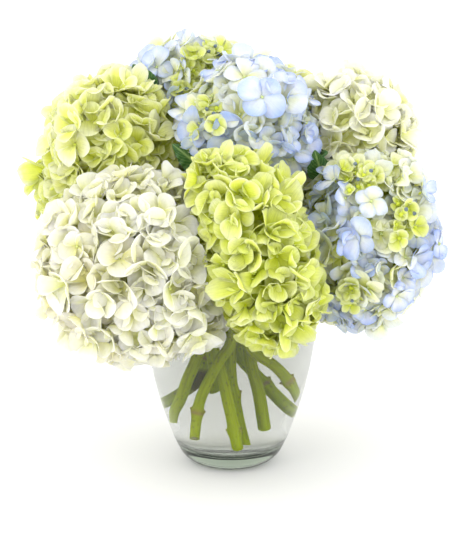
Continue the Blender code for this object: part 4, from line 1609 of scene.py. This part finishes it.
    def build(self, finish: bpy.types.Material) -> bpy.types.Object:
        """Makes the head.

        Args:
            finish: The petals' material.

        Returns:
            The head's object.
        """
        batch = Batch()
        count = self.add_outer(batch)
        for patch in self.bloom.patches:
            self.add_patch(batch, patch)
        self.add_shows(batch)
        self.add_inner(batch)
        self.add_core(batch)
        self.add_neck(batch)
        log.info("head %s: %d open florets", self.bloom.name, count)
        return batch.build("bloom_" + self.bloom.name, finish)


@dataclass
class Stem:
    """One cut stem with its nodes, scars, stubs and slanted foot.

    Attributes:
        bloom: The head that it carries.
        foot_radius: Its radius at the foot.
        top_radius: Its radius at the neck.
        sides: Points round it.
        spacing: Distance between rings.
        straight: How far before the neck it takes the neck's direction.
        node_swell: How far a node swells.
        node_length: How long the swelling is.
        scar_length: How long the scar on it is.
        slant: Slope of the cut across the foot.
        slant_length: How far up the stem the rings lean with it.
        shades: The share of the light green at the foot, half way up and at the neck.
        dark: Its dark green.
        light: Its light green.
        brown: Colour of the scars.
        old_wood_and_shade_tint: Colour of the dark brown part: old wood, with painted shade.
        cut: Colour in the middle of both ends.
        stub: Colour of the side shoots.
        stub_start: How far from the centre line a side shoot starts.
        stub_rings: Distance from there and radius of each ring of a side shoot.
    """

    bloom: Bloom
    foot_radius: float = 4.7
    top_radius: float = 3.9
    sides: int = 20
    spacing: float = 3.0
    straight: float = 14.0
    node_swell: float = 1.3
    node_length: float = 4.5
    scar_length: float = 2.2
    slant: float = 0.6
    slant_length: float = 6.0
    shades: tuple[float, float, float] = (0.35, 0.5, 0.8)
    dark: str = "B8D200"
    light: str = "E6F22C"
    brown: str = "BCA648"
    old_wood_and_shade_tint: str = "7C7A30"
    cut: str = "D6CFA4"
    stub: str = "B4B04A"
    stub_start: float = 2.5
    stub_rings: tuple[tuple[float, float], ...] = ((0.0, 2.3), (3.5, 1.7), (5.5, 1.0))

    def line(self) -> tuple[np.ndarray, np.ndarray]:
        """Traces the stem from its foot to its neck.

        Returns:
            The centre line, and each point's length along it.
        """
        end = np.array(self.bloom.neck, float)
        before = end - self.bloom.axis * self.straight
        return curve_through([*self.bloom.route, before, end], self.spacing)

    def skin_tints(self, stations: np.ndarray, turn: np.ndarray,
                   rng: np.random.Generator) -> np.ndarray:
        """Colours of the skin: green that lightens upwards, a dark band, and scars half round the
        nodes.

        The dark band is partly old brown wood and partly painted shade where the stem lies in shadow.

        Args:
            stations: Lengths along the stem.
            turn: Angles round it.
            rng: The chance numbers.

        Returns:
            Stations by angles by three.
        """
        shade = np.interp(stations, stations[-1] * np.array([0, 0.5, 1]), self.shades)
        shade = (shade + 0.1 * np.sin(stations * 0.05 + self.bloom.seed))[:, None]
        green = (tone(self.dark) * (1 - shade) + tone(self.light) * shade) * self.bloom.stem_light
        # The dark band: partly old brown wood, partly painted shade where the stem lies in shadow.
        middle, length = self.bloom.old_wood_and_shade
        old_wood_and_shade = np.clip(3 - 6 * np.abs((stations - middle) / length), 0, 1)[:, None]
        green = green * (1 - old_wood_and_shade) + tone(self.old_wood_and_shade_tint) * old_wood_and_shade
        scar = np.zeros_like(stations)
        for node in self.bloom.nodes:
            scar += np.exp(-((stations - node) / self.scar_length) ** 4)
        half_round = np.clip(np.cos(turn - rng.uniform(0, 6.28)) + 0.4, 0, 1)[:, None]
        brown = np.clip(scar, 0, 1)[:, None, None] * half_round
        return green[:, None] * (1 - brown) + tone(self.brown) * brown

    def build(self, finish: bpy.types.Material) -> bpy.types.Object:
        """Makes the stem as a profile carried along its line.

        Its radius tapers from foot to neck, swells as a bell curve at each node and waves a little
        five times round. The rings near the foot are slid along the line by the cosine of their
        turn, less and less further up, which slants the cut.

        Args:
            finish: The stem's material.

        Returns:
            The stem's object.
        """
        rng = np.random.default_rng(self.bloom.seed + 100)
        line, stations = self.line()
        along = unit(np.gradient(line, axis=0))
        second = unit(np.cross(along, [1.0, 0.0, 0.0]))
        first = np.cross(second, along)
        turn = np.arange(self.sides) * 2 * math.pi / self.sides
        radius = np.interp(stations, [0, stations[-1]], [self.foot_radius, self.top_radius])
        for node in self.bloom.nodes:
            radius += self.node_swell * np.exp(-((stations - node) / self.node_length) ** 2)
        ribs = 1 + 0.018 * np.sin(5 * turn + self.bloom.seed) \
            + 0.02 * np.sin(stations[:, None] * 0.11 + turn + self.bloom.seed)
        reach = radius[:, None] * ribs
        points = line[:, None] + reach[..., None] * circle(first, second, self.sides)
        slide = reach * np.exp(-stations / self.slant_length)[:, None] * self.slant
        points += (slide * np.cos(turn + self.bloom.seed))[..., None] * along[:, None]
        tints = self.skin_tints(stations, turn, rng)
        places = np.stack(np.broadcast_arrays(turn / (2 * math.pi), stations[:, None] / 30), -1)
        batch = Batch()
        batch.add(np.vstack([points.reshape(-1, 3), points[[0, -1]].mean(1)])[None],
                  np.vstack([tints.reshape(-1, 3), [tone(self.cut)] * 2]),
                  domed_faces(len(stations), self.sides),
                  np.vstack([places.reshape(-1, 2), np.zeros((2, 2))]))
        for node in self.bloom.nodes:
            at = int(np.abs(stations - node).argmin())
            self.add_stubs(batch, line[at], np.stack([along[at], first[at], second[at]]), rng)
        log.info("stem %s: %d rings", self.bloom.name, len(stations))
        return batch.build("stalk_" + self.bloom.name, finish, 45.0)

    def add_stubs(self, batch: Batch, middle: np.ndarray, axes: np.ndarray,
                  rng: np.random.Generator) -> None:
        """Adds two short cut side shoots at a node, each a six-sided taper.

        Args:
            batch: The mesh to add to.
            middle: The node's place on the centre line.
            axes: The direction along the line, and two across it.
            rng: The chance numbers.
        """
        along, first, second = axes
        angle = rng.uniform(-0.6, 0.6)
        distances, radii = np.array(self.stub_rings).T[..., None]
        for side in (0.0, math.pi):
            out = math.cos(angle + side) * first + math.sin(angle + side) * second
            lean = unit(out + along * 0.9)
            middles = middle + out * self.stub_start + lean * distances
            points = middles[:, None] + circle(*cross_axes(lean), 6) * radii[..., None]
            batch.add(points.reshape(1, -1, 3), tone(self.stub), tube_faces(len(points), 6))


@dataclass
class Leaf:
    """One leaf: a curved blade with saw teeth, a sunken midrib and a round stalk.

    Attributes:
        name: Its piece's name.
        node: The frame's node that it stands for, if it has one.
        base: Where the blade starts.
        tip: Where it ends.
        width: Its greatest width.
        facing: The direction that its upper face looks in.
        joint: Where its stalk leaves the stem.
        arch: How far the blade bows, as a share of its length.
        grid: Points along the blade and across it.
        thickness: The blade's thickness.
        teeth: How many saw teeth a side has, and how far they stand out, as a share of half its width.
        blade_tint: Colour of the blade.
        rib_tint: Colour of the midrib.
        stalk_tint: Colour of the stalk.
        stalk_radii: The stalk's radius at the stem and at its end.
    """

    name: str
    node: str | None
    base: tuple[float, float, float]
    tip: tuple[float, float, float]
    width: float
    facing: tuple[float, float, float]
    joint: tuple[float, float, float]
    arch: float = 0.08
    grid: tuple[int, int] = (61, 13)
    thickness: float = 0.5
    teeth: tuple[int, float] = (14, 0.07)
    blade_tint: str = "2F5A22"
    rib_tint: str = "8CA860"
    stalk_tint: str = "93A857"
    stalk_radii: tuple[float, float] = (2.0, 1.0)

    def build(self, finish: bpy.types.Material) -> bpy.types.Object:
        """Makes the leaf.

        With v from base to tip and u from side to side, the half width is a sine of v with its widest
        place below the middle, saw teeth are added at the rim, the midrib lies in a shallow fold, and
        the blade bows with v times one less v.

        Args:
            finish: The leaf's material.

        Returns:
            The leaf's object.
        """
        rows, columns = self.grid
        base, tip = np.array(self.base, float), np.array(self.tip, float)
        spine = tip - base
        length = np.linalg.norm(spine)
        ahead = spine / length
        side = unit(np.cross(ahead, self.facing))
        up = np.cross(side, ahead)
        v = np.linspace(0.004, 0.997, rows)[:, None]
        u = np.linspace(-1, 1, columns)[None, :]
        half = self.width / 2 * np.sin(math.pi * v ** 0.82) ** 0.85
        count, size = self.teeth
        saw = 1 + size * ((v * count) % 1.0) * np.abs(u) ** 6
        lift = self.arch * length * 4 * v * (1 - v) + 0.10 * half * np.abs(u) \
            + 0.012 * length * np.sin(v * 44) * np.abs(u) ** 2
        flat = base + spine * v[..., None] + side * (half * saw * u)[..., None]
        surface = flat + up * lift[..., None]
        points, faces, source = thin_shell(surface[None], self.thickness)
        rib = np.exp(-(np.abs(u) / 0.10) ** 2) * np.ones_like(v)
        rib = rib.reshape(-1)[source][:, None]
        tints = tone(self.blade_tint) * (1 - rib) + tone(self.rib_tint) * rib
        places = np.stack(np.broadcast_arrays(u, v), -1).reshape(-1, 2)[source]
        batch = Batch()
        batch.add(points, tints, faces, places)
        self.add_stalk(batch, base + up * lift[0, columns // 2], ahead)
        log.info("leaf %s: %.0f mm long", self.name, length)
        return batch.build(self.name, finish)

    def add_stalk(self, batch: Batch, base: np.ndarray, ahead: np.ndarray) -> None:
        """Adds the stalk, a tube from the joint to a little way up the blade.

        Args:
            batch: The mesh to add to.
            base: The blade's base.
            ahead: The blade's direction.
        """
        line = curve_through([self.joint, base - ahead * 2, base + ahead * 6], 3.0)[0]
        ring = circle(*cross_axes(unit(np.gradient(line, axis=0))), 8)
        radius = np.linspace(*self.stalk_radii, len(line))[:, None, None]
        points = (line[:, None] + radius * ring).reshape(1, -1, 3)
        batch.add(points, tone(self.stalk_tint), tube_faces(len(line), 8))


LEAVES = [
    Leaf("blade_left", "leaf_left", (-45, 12, 275), (-90, 26, 374), 52, (0.35, -0.85, 0.2),
         (-17, 22, 258)),
    Leaf("blade_right", "leaf_right", (64, -8, 266), (86, -64, 308), 32, (-0.4, -0.5, 0.8),
         (50, 5, 240)),
    Leaf("blade_small_left", None, (-68, 10, 348), (-88, -4, 378), 17, (0.2, -0.9, 0.3),
         (-18, 25, 268)),
    Leaf("blade_small_middle", None, (-20, -46, 284), (-52, -54, 314), 22, (0, -0.9, 0.4),
         (9, -16, 250)),
    Leaf("blade_small_right", None, (86, -44, 276), (74, -62, 310), 24, (-0.3, -0.9, 0.3),
         (62, 6, 252)),
    Leaf("blade_rear", "leaf_rear", (9, 56, 250), (8, 166, 292), 52, (0.0, -0.3, 0.9),
         (22, 36, 240)),
]


@dataclass
class Vase:
    """The glass vase and the water in it.

    Attributes:
        shape: Its sizes.
        steps: Points round it.
        push_up: How far the underside of the foot is hollowed.
        overlap: How far the water's skin reaches into the glass, so that light passes straight over.
    """

    shape: VaseShape = VASE
    steps: int = 104
    push_up: float = 1.6
    overlap: float = 0.15

    def revolve(self, name: str, profile: list[np.ndarray | list], finish: bpy.types.Material,
                sharp: float) -> bpy.types.Object:
        """Makes a piece by turning a profile round the vase's axis.

        Args:
            name: Its name.
            profile: Runs of (radius, height) points, from the axis at the foot to the axis again.
            finish: Its material.
            sharp: Degrees past which an edge stays sharp.

        Returns:
            The piece.
        """
        points, faces = turned_surface(np.vstack(profile), self.steps)
        batch = Batch()
        batch.add(points[None], tone(WHITE), faces)
        return batch.build(name, finish, sharp)

    def build_glass(self, finish: bpy.types.Material) -> bpy.types.Object:
        """Makes the glass: hollowed foot, outer wall, rolled lip, inner wall and thick floor.

        The lip is half an ellipse from the outer wall's end to the inner one's.

        Args:
            finish: Its material.

        Returns:
            The glass.
        """
        outer = self.shape.outer_line()
        inner = self.shape.inner_line(self.shape.wall)
        under = [(radius, self.push_up * share)
                 for radius, share in ((0, 1.0), (14, 0.8), (22, 0.35))]
        roll = np.linspace(0, math.pi, 9)[1:-1, None]
        middle, half = (outer[-1] + inner[-1]) / 2, (outer[-1] - inner[-1]) / 2
        lip = middle + np.cos(roll) * half + np.sin(roll) * np.array([0, self.shape.lip])
        profile = [under, [(27, 0.1)], outer, lip, inner[::-1], self.shape.floor_line(0.0)[::-1]]
        return self.revolve("glass_vase", profile, finish, 75.0)

    def build_water(self, finish: bpy.types.Material) -> bpy.types.Object:
        """Makes the water, with a small curl where its surface meets the glass.

        Args:
            finish: Its material.

        Returns:
            The water.
        """
        level = self.shape.water_level
        line = self.shape.inner_line(self.shape.wall - self.overlap)
        edge = np.interp(level, line[:, 1], line[:, 0])
        top = [(edge, level + 0.6), (edge - 1.5, level - 0.2), (edge - 4, level - 0.6),
               (0, level - 0.6)]
        profile = [self.shape.floor_line(self.overlap), line[line[:, 1] < level], top]
        return self.revolve("vase_water", profile, finish, 50.0)


@dataclass(frozen=True)
class SoftBox:
    """A large soft lamp.

    Attributes:
        name: Its name.
        place: Where it stands.
        size: Its width and height.
        power: Its power in watts.
    """

    name: str
    place: tuple[float, float, float]
    size: tuple[float, float]
    power: float


@dataclass
class Studio:
    """The plain pale floor, the soft lights and the camera.

    Attributes:
        aim: The point whose place in the picture is known.
        aim_pixel: That place.
        picture: The picture's width and height in pixels.
        distance: From the camera to the aim.
        elevation: The camera's height above it, in degrees.
        scale: Millimetres that a pixel spans at the aim.
        floor_reach: How far the floor reaches from the middle.
        floor_points: Points along each of its sides.
        floor_white: How light it is, from 0 to 1.
        air_light: Strength of the even light from all round.
        gamma: The picture's gamma.
        lit: The point that the lamps face.
        boxes: The lamps.
    """

    aim: tuple[float, float, float] = (0, 0, 190)
    aim_pixel: tuple[float, float] = (230.7, 265.0)
    picture: tuple[int, int] = (465, 558)
    distance: float = 1700.0
    elevation: float = 14.0
    scale: float = 0.93
    floor_reach: float = 9000.0
    floor_points: int = 5
    floor_white: float = 0.88
    air_light: float = 1.45
    gamma: float = 1.06
    lit: tuple[float, float, float] = (0, 0, 200)
    boxes: tuple[SoftBox, ...] = (
        SoftBox("box_left", (-1300, -1100, 1200), (1100, 1300), 10.0),
        SoftBox("box_right", (1400, -900, 800), (900, 1300), 6.0))

    def build_camera(self) -> bpy.types.Object:
        """Makes the camera: a long lens that looks along +Y and slightly down.

        Returns:
            The camera's object.
        """
        lens = bpy.data.cameras.new("camera")
        lens.sensor_fit = "VERTICAL"
        lens.sensor_height = 36.0
        lens.lens = self.distance / self.scale * lens.sensor_height / self.picture[1]
        lens.shift_x = (self.picture[0] / 2 - self.aim_pixel[0]) / self.picture[1]
        lens.shift_y = (self.aim_pixel[1] - self.picture[1] / 2) / self.picture[1]
        lens.clip_end = 50.0
        camera = bpy.data.objects.new("camera", lens)
        bpy.context.scene.collection.objects.link(camera)
        slope = math.radians(self.elevation)
        back = np.array([0, -math.cos(slope), math.sin(slope)])
        camera.location = (np.array(self.aim) + self.distance * back) * MM
        camera.rotation_euler = (math.pi / 2 - slope, 0, 0)
        bpy.context.scene.camera = camera
        return camera

    def build_floor(self) -> bpy.types.Object:
        """Makes the floor, flat and wide enough to fill the picture behind the object.

        Returns:
            The floor's object.
        """
        sheet = NodeSheet("paper_floor")
        sheet.set(Base_Color=(self.floor_white, self.floor_white, self.floor_white, 1.0),
                  Roughness=0.7, Specular_IOR_Level=0.2)
        steps = np.linspace(-self.floor_reach, self.floor_reach, self.floor_points)
        points = np.stack(np.broadcast_arrays(steps[None], steps[:, None], 0.0), -1)
        batch = Batch()
        batch.add(points.reshape(1, -1, 3), tone(WHITE), [grid_faces(len(steps), len(steps))])
        floor = batch.build("studio_floor", sheet.material)
        return floor

    def build_light(self, box: SoftBox) -> bpy.types.Object:
        """Makes one lamp.

        The X, Y and Z turns that face it to the lit point come from its axes: from the third
        components of all three, and from the first two components of the first.

        Args:
            box: The lamp's facts.

        Returns:
            The light's object.
        """
        lamp = bpy.data.lights.new(box.name, "AREA")
        lamp.shape = "RECTANGLE"
        lamp.size, lamp.size_y = box.size[0] * MM, box.size[1] * MM
        lamp.energy = box.power
        light = bpy.data.objects.new(box.name, lamp)
        bpy.context.scene.collection.objects.link(light)
        light.location = np.array(box.place) * MM
        away = unit(np.subtract(box.place, self.lit))
        first, second = cross_axes(away)
        lean = math.atan2(-first[2], math.hypot(first[0], first[1]))
        light.rotation_euler = math.atan2(second[2], away[2]), lean, math.atan2(first[1], first[0])
        return light

    def build_world(self) -> bpy.types.World:
        """Makes the even white light that comes from all round.

        Returns:
            The world that sends it.
        """
        world = bpy.data.worlds.new("studio_air")
        bpy.context.scene.world = world
        world.use_nodes = True
        world.node_tree.nodes["Background"].inputs["Color"].default_value = (1, 1, 1, 1)
        world.node_tree.nodes["Background"].inputs["Strength"].default_value = self.air_light
        return world

    def build(self) -> None:
        """Makes everything in the studio, for a picture that shows colours as they are."""
        bpy.context.scene.view_settings.view_transform = "Standard"
        bpy.context.scene.view_settings.gamma = self.gamma
        self.build_camera()
        self.build_floor()
        self.build_world()
        for box in self.boxes:
            self.build_light(box)


PETAL_FINISHES = {
    Hue.LIME: PetalFinish("petal_lime", rim_start=0.55, rim_full=1.10, fleck=0.12, mottle=0.08),
    Hue.WHITE: PetalFinish("petal_white", rim_start=0.76, rim_full=1.04, fleck=0.05),
    Hue.BLUE: PetalFinish("petal_blue", rim_start=0.35, rim_full=1.10, fleck=0.06),
    Hue.CREAM: PetalFinish("petal_cream", rim_start=0.76, rim_full=1.04, fleck=0.05),
}


def mount(piece: bpy.types.Object, slot: str, *nodes: str) -> None:
    """Lets a piece ride on the object's body in the place of its nodes.

    Args:
        piece: The piece.
        slot: Not used.
        nodes: The frame's nodes that it stands for.
    """
    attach(piece, BODY)
    if nodes:
        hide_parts(*nodes)


def main() -> None:
    """Builds the vase, the water, the stems, the leaves, the heads and the studio, in that order."""
    logging.basicConfig(level=logging.INFO, format="%(name)s %(message)s")
    glass = ClearFinish("vase_glass", 1.5, (0.50, 0.56, 0.47), 30.0).build()
    water = ClearFinish("clear_water", 1.33, (0.31, 0.325, 0.26), 8.5).build()
    vase = Vase()
    mount(vase.build_glass(glass), "glass", "vase")
    mount(vase.build_water(water), "water", "water")
    stem_skin = StemFinish().build()
    stem_lines = {}
    for bloom in BLOOMS:
        stem = Stem(bloom)
        stem_lines[bloom.name] = stem.line()[0]
        mount(stem.build(stem_skin), "stem", "stem_" + bloom.name)
    leaf_skin = LeafFinish().build()
    for leaf in LEAVES:
        mount(leaf.build(leaf_skin), "leaf", *([leaf.node] if leaf.node else []))
    petals = {hue: PETAL_FINISHES[hue].build() for hue in Hue}
    for bloom in BLOOMS:
        head = FlowerHead(bloom, HeadRoom(bloom, stem_lines))
        mount(head.build(petals[bloom.hue]), "petals_" + bloom.hue.value, "head_" + bloom.name)
    Studio().build()


if __name__ == "__main__":
    main()
